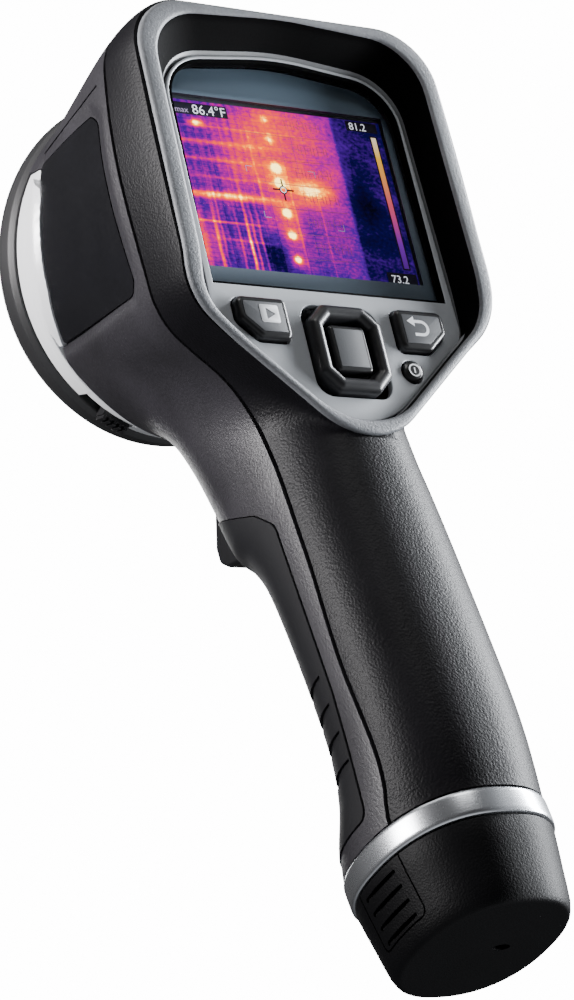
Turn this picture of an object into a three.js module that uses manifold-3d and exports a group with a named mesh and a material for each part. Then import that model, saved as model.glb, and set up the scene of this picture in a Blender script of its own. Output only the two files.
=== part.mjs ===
// Handheld thermal imaging camera: pistol-grip housing with a lens head, a
// hooded display and keypad at the rear, a trigger and a slide-in battery.
//
// Frame, in millimetres: the part stands on the flat underside of its battery
// cap. The origin is the centre of that face, +Z runs up the handle, +Y points
// towards the scene the lens looks at and +X is the user's right.
import * as THREE from 'three';
import { mergeVertices } from 'three/addons/utils/BufferGeometryUtils.js';
import Module from 'manifold-3d';

const wasm = await Module();
wasm.setup();

const DEG = Math.PI / 180;

// ---------------------------------------------------------------- dimensions
const GAP = 0.3; // clearance between neighbouring pieces
const WALL = 3.0; // housing wall

// display frame: u to the right, v up the screen, w out of the screen
const DISPLAY_LEAN = 11; // degrees from the handle axis
const DISPLAY_Y = -33.7;
const DISPLAY_Z = 182.2;

// lens frame: z along the optical axis, x to the user's right, y down
const LENS_ELEVATION = 30; // degrees above +Y
const LENS_Y = 23.3;
const LENS_Z = 207;
const RING_RADIUS = 43.2; // outer radius of the head where it meets the ring

// grip sections: height, rear y, front y, half width
const GRIP = [
  [19, -23.8, 23.8, 21.0],
  [26, -24.2, 23.6, 21.0],
  [32, -25.2, 21.0, 20.9],
  [40, -26.2, 15.2, 20.5],
  [50, -27.0, 11.8, 20.2],
  [65, -27.5, 10.8, 20.0],
  [85, -27.8, 11.0, 20.0],
  [98, -28.0, 12.2, 20.0],
  [106, -28.3, 15.2, 20.0],
  [113, -28.5, 19.6, 20.2],
  [125, -29.0, 21.6, 20.4],
  [140, -29.2, 23.6, 21.5],
  [155, -29.0, 27.2, 23.5],
  [172, -27.0, 33.0, 26.0],
];
const GRIP_EXPONENT = 2.3;
const GRIP_TOP = 172;
const NECK_BLEND = 9; // radius of the fillet between grip and head
const HOUSING_BOTTOM = 25.9;

// base: silver ring and battery cap
const BASE_HALF_X = 21.2;
const BASE_HALF_Y = 24.0;
const BASE_Y = -0.2;
const BASE_RING_Z0 = 19.4;
const BASE_RING_Z1 = 25.6;
const CAP_TOP = 19.1;

// seam between the front and rear shells: height, y
const SEAM = [
  [18, -9.5],
  [27, -9.6],
  [34, -12.0],
  [43, -13.2],
  [65, -12.9],
  [90, -14.7],
  [115, -15.2],
  [131, -15.2],
  [144, -18.6],
  [153, -23.0],
  [165, -26.6],
  [188, -32.3],
  [209, -37.0],
  [245, -44.5],
];
const SEAM_HALF = 0.7;

// rim of the display hood: height of its face over the screen plane
const RIM_W = 12;
const RIM_V_W = 8.2;
const LIP = 1.1;

// outlines in the display frame, right half: u, v, corner radius
const HOOD_OUTLINE = mirrored([[41.6, 42.3, 15], [42.3, -34.7, 16], [0, -72.8, 19]]);
const HOOD_INNER = mirrored([[0, 40.6, 90], [37.0, 38.0, 14], [38.0, -35.1, 12], [0, -69.6, 20]]);
const PANEL_OUTLINE = mirrored([[0, 34.4, 70], [32.6, 30.4, 13], [34.3, -37.9, 6], [0, -68.8, 20]]);
const WINDOW_OUTLINE = mirrored([[0, 32.6, 70], [31.3, 28.8, 11], [32.4, -29.2, 1.6]]);
const BUTTON_OUTLINE = [[14.6, -32.3, 2], [28.9, -32.3, 2.4], [28.9, -38.7, 2.4], [23.6, -43.5, 2.4], [14.6, -43.5, 2]];
const NAV_CENTRE_V = -44.3;
const POWER_U = 17.2;
const POWER_V = -48.2;

// ------------------------------------------------------------------- helpers
function mirrored(half) {
  // completes a right-half outline (clockwise from the top) with its left half
  const left = half.filter((p) => p[0] > 0).map(([u, v, r]) => [-u, v, r]).reverse();
  return [...half, ...left];
}

function rounded(points, steps = 4) {
  // polygon with arcs at its corners, as a list of Vector2
  const out = [];
  const n = points.length;
  for (let i = 0; i < n; i += 1) {
    const p = new THREE.Vector2(points[i][0], points[i][1]);
    const a = new THREE.Vector2(...points[(i + n - 1) % n].slice(0, 2)).sub(p);
    const b = new THREE.Vector2(...points[(i + 1) % n].slice(0, 2)).sub(p);
    const half = Math.acos(a.dot(b) / (a.length() * b.length())) / 2;
    const radius = points[i][2] || 0;
    if (radius === 0) {
      out.push(p);
      continue;
    }
    const tangent = Math.min(radius / Math.tan(half), 0.49 * a.length(), 0.49 * b.length());
    const r = tangent * Math.tan(half);
    const start = p.clone().add(a.clone().setLength(tangent));
    const end = p.clone().add(b.clone().setLength(tangent));
    const centre = p.clone().add(a.clone().normalize().add(b.clone().normalize()).setLength(r / Math.sin(half)));
    const a0 = start.clone().sub(centre).angle();
    let sweep = end.clone().sub(centre).angle() - a0;
    if (sweep > Math.PI) sweep -= 2 * Math.PI;
    if (sweep < -Math.PI) sweep += 2 * Math.PI;
    for (let k = 0; k <= steps; k += 1) {
      const angle = a0 + (sweep * k) / steps;
      out.push(new THREE.Vector2(centre.x + r * Math.cos(angle), centre.y + r * Math.sin(angle)));
    }
  }
  return out;
}

function offsetOutline(points, distance) {
  // moves a polygon's edges outwards (positive) or inwards by a distance
  const n = points.length;
  const clockwise = THREE.ShapeUtils.area(points.map(([x, y]) => new THREE.Vector2(x, y))) < 0;
  const side = clockwise ? 1 : -1;
  const edges = points.map((p, i) => {
    const q = points[(i + 1) % n];
    const d = new THREE.Vector2(q[0] - p[0], q[1] - p[1]).normalize();
    const normal = new THREE.Vector2(-d.y * side, d.x * side);
    return { p: new THREE.Vector2(p[0], p[1]).addScaledVector(normal, distance), d };
  });
  return points.map((p, i) => {
    const e = edges[(i + n - 1) % n];
    const f = edges[i];
    const cross = e.d.x * f.d.y - e.d.y * f.d.x;
    const t = ((f.p.x - e.p.x) * f.d.y - (f.p.y - e.p.y) * f.d.x) / cross;
    const turn = cross * side < 0 ? 1 : -1;
    return [e.p.x + e.d.x * t, e.p.y + e.d.y * t, Math.max(0, (p[2] || 0) + (p[2] ? turn * distance : 0))];
  });
}

function circle(x, y, radius, sides = 20) {
  const out = [];
  for (let i = 0; i < sides; i += 1) {
    const a = (2 * Math.PI * i) / sides;
    out.push(new THREE.Vector2(x + radius * Math.cos(a), y + radius * Math.sin(a)));
  }
  return out;
}

function solid(geometry, matrix) {
  // three.js geometry to a manifold solid, placed in the row frame
  const g = geometry.clone();
  g.deleteAttribute('normal');
  g.deleteAttribute('uv');
  if (matrix) g.applyMatrix4(matrix);
  const merged = mergeVertices(g, 1e-4);
  return new wasm.Manifold(new wasm.Mesh({
    numProp: 3,
    vertProperties: new Float32Array(merged.attributes.position.array),
    triVerts: new Uint32Array(merged.index.array),
  }));
}

function geometryOf(manifold) {
  const mesh = manifold.getMesh();
  const g = new THREE.BufferGeometry();
  g.setAttribute('position', new THREE.BufferAttribute(new Float32Array(mesh.vertProperties), 3));
  g.setIndex(new THREE.BufferAttribute(new Uint32Array(mesh.triVerts), 1));
  return g;
}

function prism(outline, z0, z1, matrix, holes = [], bevel = 0) {
  // outline extruded from z0 to z1; bevel chamfers the top and bottom edges
  const options = { depth: z1 - z0 - 2 * bevel, bevelEnabled: bevel > 0, steps: 1 };
  if (bevel > 0) Object.assign(options, { bevelSize: bevel, bevelThickness: bevel, bevelSegments: 1, bevelOffset: -bevel });
  const g = new THREE.ExtrudeGeometry(new THREE.Shape(outline), options);
  g.translate(0, 0, z0 + bevel);
  let out = solid(g, matrix);
  for (const hole of holes) out = out.subtract(prism(hole, z0 - 1, z1 + 1, matrix));
  return out;
}

function box(x0, x1, y0, y1, z0, z1, matrix) {
  const g = new THREE.BoxGeometry(x1 - x0, y1 - y0, z1 - z0);
  g.translate((x0 + x1) / 2, (y0 + y1) / 2, (z0 + z1) / 2);
  return solid(g, matrix);
}

function turned(profile, sides, matrix, x = 0, y = 0) {
  // body of revolution about z from (radius, height) pairs; a profile that
  // does not start and end on the axis is closed on itself
  const onAxis = profile[0][0] === 0 && profile[profile.length - 1][0] === 0;
  const points = profile.map(([r, z]) => new THREE.Vector2(r, z));
  if (!onAxis) points.push(points[0].clone());
  const g = new THREE.LatheGeometry(points, sides);
  g.rotateX(Math.PI / 2);
  g.translate(x, y, 0);
  let s = solid(g, matrix);
  if (s.volume() < 0) {
    const flipped = g.clone();
    const index = flipped.index.array;
    for (let i = 0; i < index.length; i += 3) [index[i], index[i + 1]] = [index[i + 1], index[i]];
    s = solid(flipped, matrix);
  }
  return s;
}

function stacked(rings) {
  // closed surface through a stack of equal-length rings, capped at both ends
  const count = rings[0].length;
  const positions = [];
  const index = [];
  for (const ring of rings) for (const p of ring) positions.push(p.x, p.y, p.z);
  for (const ring of [rings[0], rings[rings.length - 1]]) {
    const c = new THREE.Vector3();
    for (const p of ring) c.add(p);
    c.divideScalar(count);
    positions.push(c.x, c.y, c.z);
  }
  const base = rings.length * count;
  for (let j = 0; j + 1 < rings.length; j += 1) {
    for (let i = 0; i < count; i += 1) {
      const a = j * count + i;
      const b = j * count + ((i + 1) % count);
      index.push(a, b, b + count, a, b + count, a + count);
    }
  }
  const last = (rings.length - 1) * count;
  for (let i = 0; i < count; i += 1) {
    index.push(base, (i + 1) % count, i);
    index.push(base + 1, last + i, last + ((i + 1) % count));
  }
  const g = new THREE.BufferGeometry();
  g.setAttribute('position', new THREE.Float32BufferAttribute(positions, 3));
  g.setIndex(index);
  return g;
}

const displayFrame = new THREE.Matrix4()
  .makeTranslation(0, DISPLAY_Y, DISPLAY_Z)
  .multiply(new THREE.Matrix4().makeRotationX((90 + DISPLAY_LEAN) * DEG));
const displayInverse = displayFrame.clone().invert();
const lensFrame = new THREE.Matrix4()
  .makeTranslation(0, LENS_Y, LENS_Z)
  .multiply(new THREE.Matrix4().makeRotationX(-(90 - LENS_ELEVATION) * DEG));
const lensInverse = lensFrame.clone().invert();
// maps a profile drawn in (y, z) of the row frame, extruded along x
const sideFrame = new THREE.Matrix4().makeBasis(
  new THREE.Vector3(0, 1, 0), new THREE.Vector3(0, 0, 1), new THREE.Vector3(1, 0, 0));
// maps a profile drawn in (v, w) of the display frame, extruded along u
const displaySide = displayFrame.clone().multiply(new THREE.Matrix4().makeBasis(
  new THREE.Vector3(0, 1, 0), new THREE.Vector3(0, 0, 1), new THREE.Vector3(1, 0, 0)));

// -------------------------------------------------------- housing outer form
function smoothTable(table, x, column) {
  // cubic through the rows of a table, by its first column
  const last = table.length - 1;
  if (x <= table[0][0]) return table[0][column];
  if (x >= table[last][0]) return table[last][column];
  let i = 0;
  while (table[i + 1][0] < x) i += 1;
  const slope = (k) => {
    if (k === 0 || k === last) return 0;
    return (table[k + 1][column] - table[k - 1][column]) / (table[k + 1][0] - table[k - 1][0]);
  };
  const h = table[i + 1][0] - table[i][0];
  const t = (x - table[i][0]) / h;
  const a = table[i][column];
  const b = table[i + 1][column];
  const t2 = t * t;
  const t3 = t2 * t;
  return a * (2 * t3 - 3 * t2 + 1) + b * (3 * t2 - 2 * t3)
    + h * slope(i) * (t3 - 2 * t2 + t) + h * slope(i + 1) * (t3 - t2);
}

function smoothstep(a, b, x) {
  const t = Math.min(1, Math.max(0, (x - a) / (b - a)));
  return t * t * (3 - 2 * t);
}

function rimHeight(v) {
  return RIM_V_W + (RIM_W - RIM_V_W) * smoothstep(-46, -22, v);
}

const HEAD_REAR_V = 5; // centre of the rear outline for its polar form
const rearOutline = rounded(HOOD_OUTLINE, 8);

function polarRadius(outline, cx, cy, angle) {
  // distance from a centre to an outline in a direction
  const dx = Math.cos(angle);
  const dy = Math.sin(angle);
  for (let i = 0; i < outline.length; i += 1) {
    const p = outline[i];
    const q = outline[(i + 1) % outline.length];
    const ex = q.x - p.x;
    const ey = q.y - p.y;
    const det = ex * dy - ey * dx;
    if (Math.abs(det) < 1e-12) continue;
    const t = ((cx - p.x) * dy - (cy - p.y) * dx) / det;
    const s = (ey * (cx - p.x) - ex * (cy - p.y)) / det;
    if (t >= -1e-9 && t <= 1 + 1e-9 && s > 0) return s;
  }
  return 0;
}

const POLAR_STEPS = 720;
const polarTable = [];
for (let i = 0; i <= POLAR_STEPS; i += 1) {
  polarTable.push(polarRadius(rearOutline, 0, HEAD_REAR_V, (2 * Math.PI * i) / POLAR_STEPS));
}

function rearRadius(angle) {
  const turns = (((angle / (2 * Math.PI)) % 1) + 1) % 1;
  const k = turns * POLAR_STEPS;
  const i = Math.floor(k);
  return polarTable[i] + (polarTable[Math.min(i + 1, POLAR_STEPS)] - polarTable[i]) * (k - i);
}

const scratch = new THREE.Vector3();

function headField(x, y, z) {
  // negative inside the lens head: hood outline at the rear, circle in front
  const d = scratch.set(x, y, z).applyMatrix4(displayInverse);
  const u = d.x;
  const v = d.y;
  const w = d.z;
  const lensZ = (y - LENS_Y) * Math.cos(LENS_ELEVATION * DEG) + (z - LENS_Z) * Math.sin(LENS_ELEVATION * DEG);
  const front = -lensZ - 7; // depth behind the front edge of the silver ring
  const rear = RIM_W - w;
  const t = Math.min(1.15, Math.max(0, rear / Math.max(1, rear + front)));
  const m = smoothstep(0, 1, t) * 0.5 + t * 0.5;
  const cv = HEAD_REAR_V + (11.2 - HEAD_REAR_V) * t;
  const angle = Math.atan2(v - cv, u);
  const lean = (90 - LENS_ELEVATION - DISPLAY_LEAN - 30) * DEG; // lens axis against -w
  const flat = Math.cos(lean);
  const circleRadius = RING_RADIUS / Math.hypot(Math.cos(angle), Math.sin(angle) / flat);
  const bulge = 3.0 * Math.sin(Math.PI * Math.pow(Math.min(1, t), 0.6)) * Math.abs(Math.cos(angle));
  const radius = rearRadius(angle) * (1 - m) + circleRadius * m + bulge;
  const reach = rimHeight(v) + 3 + 7 * smoothstep(-46, -22, v);
  return Math.max(Math.hypot(u, v - cv) - radius, w - reach, lensZ + 4);
}

function gripField(x, y, z) {
  const yr = smoothTable(GRIP, z, 1);
  const yf = smoothTable(GRIP, z, 2);
  const a = smoothTable(GRIP, z, 3);
  const b = (yf - yr) / 2;
  const q = Math.pow(Math.abs(x / a), GRIP_EXPONENT) + Math.pow(Math.abs((y - (yf + yr) / 2) / b), GRIP_EXPONENT);
  return Math.max((Math.pow(q, 1 / GRIP_EXPONENT) - 1) * Math.min(a, b), z - GRIP_TOP);
}

function bodyField(x, y, z) {
  const h = headField(x, y, z);
  const g = gripField(x, y, z);
  const rearward = (DISPLAY_Y - y) * Math.cos(DISPLAY_LEAN * DEG) - (z - DISPLAY_Z) * Math.sin(DISPLAY_LEAN * DEG);
  const blend = NECK_BLEND - (NECK_BLEND - 2) * smoothstep(-8, 6, rearward);
  const k = Math.max(0, blend - Math.abs(h - g));
  return Math.min(h, g) - (k * k) / (4 * blend);
}

function bodySurface(depth, field, sides, levels, dome) {
  // the form moved inwards by a depth, found along rays from a central line
  const spineY = (z) => -7 - 9 * smoothstep(130, 200, z);
  const domeZ = 200;
  const reach = (origin, direction) => {
    let low = 0;
    let high = 1;
    const value = (s) => field(
      origin.x + direction.x * s, origin.y + direction.y * s, origin.z + direction.z * s) + depth;
    while (value(high) < 0 && high < 120) {
      low = high;
      high += 1;
    }
    for (let i = 0; i < 18; i += 1) {
      const mid = (low + high) / 2;
      if (value(mid) < 0) low = mid;
      else high = mid;
    }
    return origin.clone().addScaledVector(direction, (low + high) / 2);
  };
  const rings = [];
  for (const z of levels) {
    const origin = new THREE.Vector3(0, spineY(z), z);
    const ring = [];
    for (let i = 0; i < sides; i += 1) {
      const a = (2 * Math.PI * (i + 0.5)) / sides;
      ring.push(reach(origin, new THREE.Vector3(Math.cos(a), Math.sin(a), 0)));
    }
    rings.push(ring);
  }
  const origin = new THREE.Vector3(0, spineY(domeZ), domeZ);
  for (let j = 1; j < dome; j += 1) {
    const e = (j / dome) * 90 * DEG;
    const ring = [];
    for (let i = 0; i < sides; i += 1) {
      const a = (2 * Math.PI * (i + 0.5)) / sides;
      ring.push(reach(origin, new THREE.Vector3(Math.cos(a) * Math.cos(e), Math.sin(a) * Math.cos(e), Math.sin(e))));
    }
    rings.push(ring);
  }
  return solid(stacked(rings));
}

function levels(stops) {
  // heights from (start, end, count) runs, ending at the dome centre
  const out = [];
  for (const [a, b, n] of stops) {
    for (let i = 0; i < n; i += 1) out.push(a + ((b - a) * i) / n);
  }
  out.push(200);
  return out;
}

const outerLevels = levels([[20, 56, 5], [56, 96, 2], [96, 114, 3], [114, 146, 7], [146, 200, 6]]);
const bodyFine = (depth) => bodySurface(depth, bodyField, 34, outerLevels, 9);
const bodyOuter = bodyFine(0);
const coarseLevels = levels([[20, 56, 4], [56, 96, 1], [96, 120, 3], [120, 200, 7]]);
const bodyAt = (depth) => bodySurface(depth, bodyField, 24, coarseLevels, 6);

const cavity = bodySurface(WALL, bodyField, 26, levels([[20, 60, 3], [60, 96, 1], [96, 120, 2], [120, 200, 8]]), 6);

// ---------------------------------------------------------------- assembling
const pieces = [];

function material(color, roughness, metalness) {
  return new THREE.MeshStandardMaterial({ color, roughness, metalness });
}

const LOOK = {
  shellFront: [0x3a383c, 0.55, 0.0],
  shellRear: [0x1d1d20, 0.5, 0.0],
  rubber: [0x1a1a1c, 0.8, 0.0],
  hood: [0x68686c, 0.5, 0.3],
  panel: [0xaaabad, 0.45, 0.2],
  glass: [0x4a6070, 0.1, 0.0],
  lcd: [0x6a2c74, 0.3, 0.0],
  silver: [0xc6cacf, 0.3, 0.9],
  gloss: [0x0c0c0e, 0.1, 0.0],
  key: [0x232427, 0.5, 0.0],
  board: [0x1c5a36, 0.6, 0.0],
  black: [0x111113, 0.6, 0.0],
  steel: [0xb4b6b8, 0.35, 1.0],
  germanium: [0x57505c, 0.15, 0.8],
  gold: [0xc79a46, 0.3, 1.0],
  foam: [0x2a2a2c, 0.9, 0.0],
  battery: [0x26282c, 0.55, 0.0],
};

function largest(manifold) {
  // drops the slivers a cut can leave behind
  const bodies = manifold.decompose();
  bodies.sort((a, b) => b.volume() - a.volume());
  return bodies[0];
}

function add(name, manifold, look) {
  manifold = largest(manifold);
  const mesh = new THREE.Mesh(geometryOf(manifold), material(...LOOK[look]));
  mesh.name = name;
  pieces.push(mesh);
  return manifold;
}

function sideRegion(points, half = 70) {
  // a region drawn in (y, z), extruded across the whole width
  return prism(points.map(([y, z]) => new THREE.Vector2(y, z)), -half, half, sideFrame);
}

function seamRegion(shiftA, shiftB) {
  // band between two copies of the seam line, moved along y
  const a = [];
  const b = [];
  for (let z = 18; z <= 250; z += 8) {
    a.push([Math.max(-95, smoothTable(SEAM, z, 1) + shiftA), z]);
    b.push([Math.min(95, smoothTable(SEAM, z, 1) + shiftB), z]);
  }
  return sideRegion([...a, ...b.reverse()]);
}
const behindSeam = seamRegion(-200, -SEAM_HALF);
const aheadOfSeam = seamRegion(SEAM_HALF, 200);
const inSeam = seamRegion(-SEAM_HALF + GAP, SEAM_HALF - GAP);

// everything above the rim face lowered by a distance
function aboveRim(drop) {
  const line = [new THREE.Vector2(-67, RIM_V_W - drop)];
  for (let v = -46; v <= -22; v += 4) line.push(new THREE.Vector2(v, rimHeight(v) - drop));
  line.push(new THREE.Vector2(75, RIM_W - drop), new THREE.Vector2(75, 60), new THREE.Vector2(-67, 60));
  return prism(line, -80, 80, displaySide);
}

// lens-frame half space in front of a plane
const aheadOfRing = (z) => box(-90, 90, -90, 90, z, z + 90, lensFrame);
const belowHousing = box(-60, 60, -60, 60, 0, HOUSING_BOTTOM);

const TRAY = mirrored([[35.8, 31.4, 5], [35.8, -31, 8], [0, -65, 20]]);
// room inside the housing for the display stack and the spigot of the hood
const SPIGOT_INSET = 2.8;
const displayRoom = prism(rounded(offsetOutline(TRAY, GAP + 0.1), 3), -6.4, 3, displayFrame)
  .add(prism(rounded(offsetOutline(PANEL_OUTLINE, GAP + 0.1), 4), 0, 30, displayFrame))
  .add(prism(rounded(offsetOutline(HOOD_OUTLINE, GAP - SPIGOT_INSET), 4), 3.5, 30, displayFrame));

const shell = bodyOuter
  .subtract(cavity)
  .subtract(displayRoom)
  .subtract(aheadOfRing(-14.3))
  .subtract(belowHousing)
  .subtract(aboveRim(LIP + GAP))
  .subtract(box(-60, 60, -90, -28.9, 60, 117));
let frontShell = shell.intersect(aheadOfSeam);
const rearShell = shell.intersect(behindSeam);

// ------------------------------------------------------- gasket in the seam
const gasket = bodyAt(1.3).subtract(bodyAt(WALL)).subtract(displayRoom)
  .intersect(inSeam)
  .subtract(aheadOfRing(-14.6))
  .subtract(belowHousing)
  .subtract(aboveRim(LIP + GAP));

// --------------------------------------------------- side badges and pockets
// in (y, z): the glossy panel, its pocket in the shell, and the flare of the
// silver ring that shares the pocket ahead of the panel
const BADGE = [
  [21.6, 179.0, 0.8], [-16.3, 161.9, 3], [-19.5, 164.1, 3], [-29.5, 203, 4], [-27, 207, 4], [2.2, 218, 0.8],
  [1.3, 207.6, 2], [5.9, 198.4, 4], [12.6, 187.9, 8],
];
const BADGE_POCKET = [
  [30, 182.5, 0], [-16.3, 161.9, 3], [-19.5, 164.1, 3], [-29.5, 203, 4], [-27, 207, 4], [3, 218.3, 0], [14, 222, 0],
];
const FLARE = [
  [22.1, 179.3, 0], [12.9, 188.2, 8], [6.2, 198.5, 4], [1.6, 207.6, 2], [3.3, 214.6, 0], [24.8, 180.8, 0],
];
const sideShape = (points) => sideRegion(rounded(points, 2).map((p) => [p.x, p.y]), 60);
const badgePocket = sideShape(BADGE_POCKET);
const badgeShape = sideShape(offsetOutline(BADGE, -GAP)).subtract(aheadOfRing(-14.6));
const leftSide = box(-90, -5, -90, 90, 100, 260);
const rightSide = box(5, 90, -90, 90, 100, 260);
frontShell = frontShell.subtract(badgePocket.subtract(bodyFine(2.1)));
const badges = bodyFine(1.0).subtract(bodyFine(1.8)).intersect(badgeShape);
const flares = bodyFine(0.1).subtract(bodyFine(1.8)).intersect(sideShape(FLARE))
  .subtract(prism(circle(0, 0, 40.4, 36), -30, -5, lensFrame));

// ------------------------------------------------------ rubber grip overlay
const OVERLAY = [[40, 30.5, 0], [-4.5, 30.5, 3], [-7.6, 60, 0], [-9.4, 104, 5], [-4, 110.5, 6], [40, 139, 0]];
const TRIGGER_SLOT = box(-8.7, 8.7, 6, 45, 114.4, 140.4);
const overlayPocket = sideRegion(rounded(OVERLAY, 2).map((p) => [p.x, p.y]), 60);
const overlayShape = sideRegion(rounded(offsetOutline(OVERLAY, -GAP), 2).map((p) => [p.x, p.y]), 60);
frontShell = frontShell.subtract(overlayPocket.subtract(bodyAt(1.3)));
let overlay = bodyAt(-0.3).subtract(bodyAt(1.0)).intersect(overlayShape)
  .subtract(box(-9.4, 9.4, 6, 45, 113.6, 145));
for (let i = 0; i < 4; i += 1) {
  const z = 52 + 7.5 * i;
  overlay = overlay.subtract(sideRegion([[9, z], [20, z - 0.8], [20, z + 2.4], [12.1, z + 0.4]], 30));
}
frontShell = frontShell.subtract(TRIGGER_SLOT);

// --------------------------------------------------------------- port cover
const FLAP = [-8, 8, -35, -18]; // x and y extent on top of the head
const flapHole = box(FLAP[0], FLAP[1], FLAP[2], FLAP[3], 214, 262);
const flapShape = box(FLAP[0] + GAP, FLAP[1] - GAP, FLAP[2] + GAP, FLAP[3] - GAP, 214, 262);
frontShell = frontShell.subtract(flapHole);
const usbFlap = bodyAt(0.1).subtract(bodyAt(1.7)).intersect(flapShape);

add('front_shell', frontShell, 'shellFront');
add('rear_shell', rearShell, 'shellRear');
add('seam_gasket', gasket, 'rubber');
add('badge_panel_left', badges.intersect(leftSide), 'gloss');
add('badge_panel_right', badges.intersect(rightSide), 'gloss');
add('grip_overlay', overlay, 'rubber');
add('usb_flap', usbFlap, 'rubber');

// -------------------------------------------------------------- display hood
const hoodOutline = rounded(HOOD_OUTLINE, 4);
const panelRing = rounded(offsetOutline(PANEL_OUTLINE, 0.35), 4);
const innerRing = rounded(HOOD_INNER, 4);
const ringAt = (outline, w) => outline.map((p) => new THREE.Vector3(p.x, p.y, w)).reverse();
const hoodBore = solid(stacked([
  ringAt(panelRing, 3.0),
  ringAt(panelRing, 4.6),
  ringAt(innerRing, RIM_W + 0.02),
  ringAt(innerRing, RIM_W + 4),
]), displayFrame);
const rimBlock = prism(hoodOutline, 3, 14, displayFrame).subtract(aboveRim(0));
const spigot = prism(rounded(offsetOutline(HOOD_OUTLINE, -SPIGOT_INSET), 4), 3.9, 14, displayFrame);
const hood = rimBlock.intersect(aboveRim(LIP))
  .add(spigot.subtract(aboveRim(LIP - 0.4)).subtract(box(-80, 80, -90, -30, -20, 60, displayFrame)))
  .subtract(hoodBore);
add('display_hood', hood, 'hood');

// ------------------------------------------------------------ display stack
const rightButton = rounded(BUTTON_OUTLINE, 2);
const leftButton = rightButton.map((p) => new THREE.Vector2(-p.x, p.y));
function navOutline(halfU, halfV, radius) {
  return rounded([
    [-halfU, NAV_CENTRE_V - halfV, radius], [halfU, NAV_CENTRE_V - halfV, radius],
    [halfU, NAV_CENTRE_V + halfV, radius], [-halfU, NAV_CENTRE_V + halfV, radius],
  ], 2);
}
const keypadPanel = prism(rounded(PANEL_OUTLINE, 4), 3.6, 5.5, displayFrame, [
  rounded(WINDOW_OUTLINE, 4),
  rightButton,
  leftButton,
  navOutline(10.4, 11.6, 4),
  circle(POWER_U, POWER_V, 3.0, 20),
]);
add('keypad_panel', keypadPanel, 'panel');
add('display_window', prism(rounded(offsetOutline(WINDOW_OUTLINE, 0.7), 4), 2.0, 3.3, displayFrame), 'glass');
const gasketFrame = rounded([[-33, -27.5, 1], [33, -27.5, 1], [33, 26.5, 1], [-33, 26.5, 1]], 1);
const gasketHole = rounded([[-31, -23.6, 0], [31, -23.6, 0], [31, 23.6, 0], [-31, 23.6, 0]]);
add('display_gasket', prism(gasketFrame, 0.3, 1.7, displayFrame, [gasketHole]), 'foam');
add('lcd_module', box(-33.5, 33.5, -28, 27.4, -4.2, 0, displayFrame), 'lcd');

const SCREWS = [[29, 21], [-29, 21], [24, -31.4], [-24, -31.4]];
let tray = prism(rounded(TRAY, 3), -6, 0.2, displayFrame)
  .subtract(prism(rounded(offsetOutline(TRAY, -1.6), 3), -4.6, 3, displayFrame))
  .subtract(box(-8.6, 8.6, -29.4, -28.2, -8, -3, displayFrame));
let board = prism(rounded(offsetOutline(TRAY, -4), 3), -9, -7.4, displayFrame);
SCREWS.forEach(([u, v], i) => {
  const hole = prism(circle(u, v, 1.4, 10), -12, -4.4, displayFrame);
  tray = tray.subtract(hole);
  board = board.subtract(hole);
  const screw = [[0, -10.6], [2.2, -10.6], [2.4, -9.3], [1.1, -9.3], [1.1, -4.9], [0, -4.9]];
  add(`board_screw_${i + 1}`, turned(screw, 10, displayFrame, u, v), 'steel');
});
add('display_tray', tray, 'black');
add('main_board', board, 'board');
add('display_flex', box(-8, 8, -28.95, -28.65, -7.1, -1, displayFrame), 'gold');

const KEYPAD = mirrored([[33, -31, 1], [33, -37.2, 4], [0, -66.6, 20]]);
add('keypad_board', prism(rounded(KEYPAD, 3), 0.5, 1.3, displayFrame), 'board');
add('keypad_mat', prism(rounded(offsetOutline(KEYPAD, -0.5), 3), 1.6, 2.0, displayFrame), 'rubber');

const keyBody = rounded(offsetOutline(BUTTON_OUTLINE, -0.4), 2);
const keyFlange = rounded(offsetOutline(BUTTON_OUTLINE, 0.8), 2);
const mirrorU = (outline) => outline.map((p) => new THREE.Vector2(-p.x, p.y));
function key(body, flange) {
  return prism(body, 3.0, 7.5, displayFrame, [], 0.7)
    .add(prism(body, 3.0, 4.0, displayFrame))
    .add(prism(flange, 2.8, 3.3, displayFrame));
}
add('archive_button', key(mirrorU(keyBody), mirrorU(keyFlange)), 'key');
add('cancel_button', key(keyBody, keyFlange), 'key');
const power = [[0, 2.8], [3.6, 2.8], [3.6, 3.3], [2.6, 3.3], [2.6, 6.0], [2.2, 6.5], [0, 6.5]];
add('power_button', turned(power, 20, displayFrame, POWER_U, POWER_V), 'key');
add('nav_plate', prism(navOutline(8.4, 9.6, 3), 2.6, 3.3, displayFrame), 'black');
const navRing = prism(navOutline(9.9, 11.1, 4), 3.9, 8.3, displayFrame, [], 1.1)
  .subtract(prism(navOutline(6.1, 7.2, 2), 3, 9, displayFrame));
add('nav_ring', navRing, 'key');
add('nav_center_button', prism(navOutline(5.0, 5.9, 1.2), 4.4, 7.6, displayFrame, [], 0.6), 'key');

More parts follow.
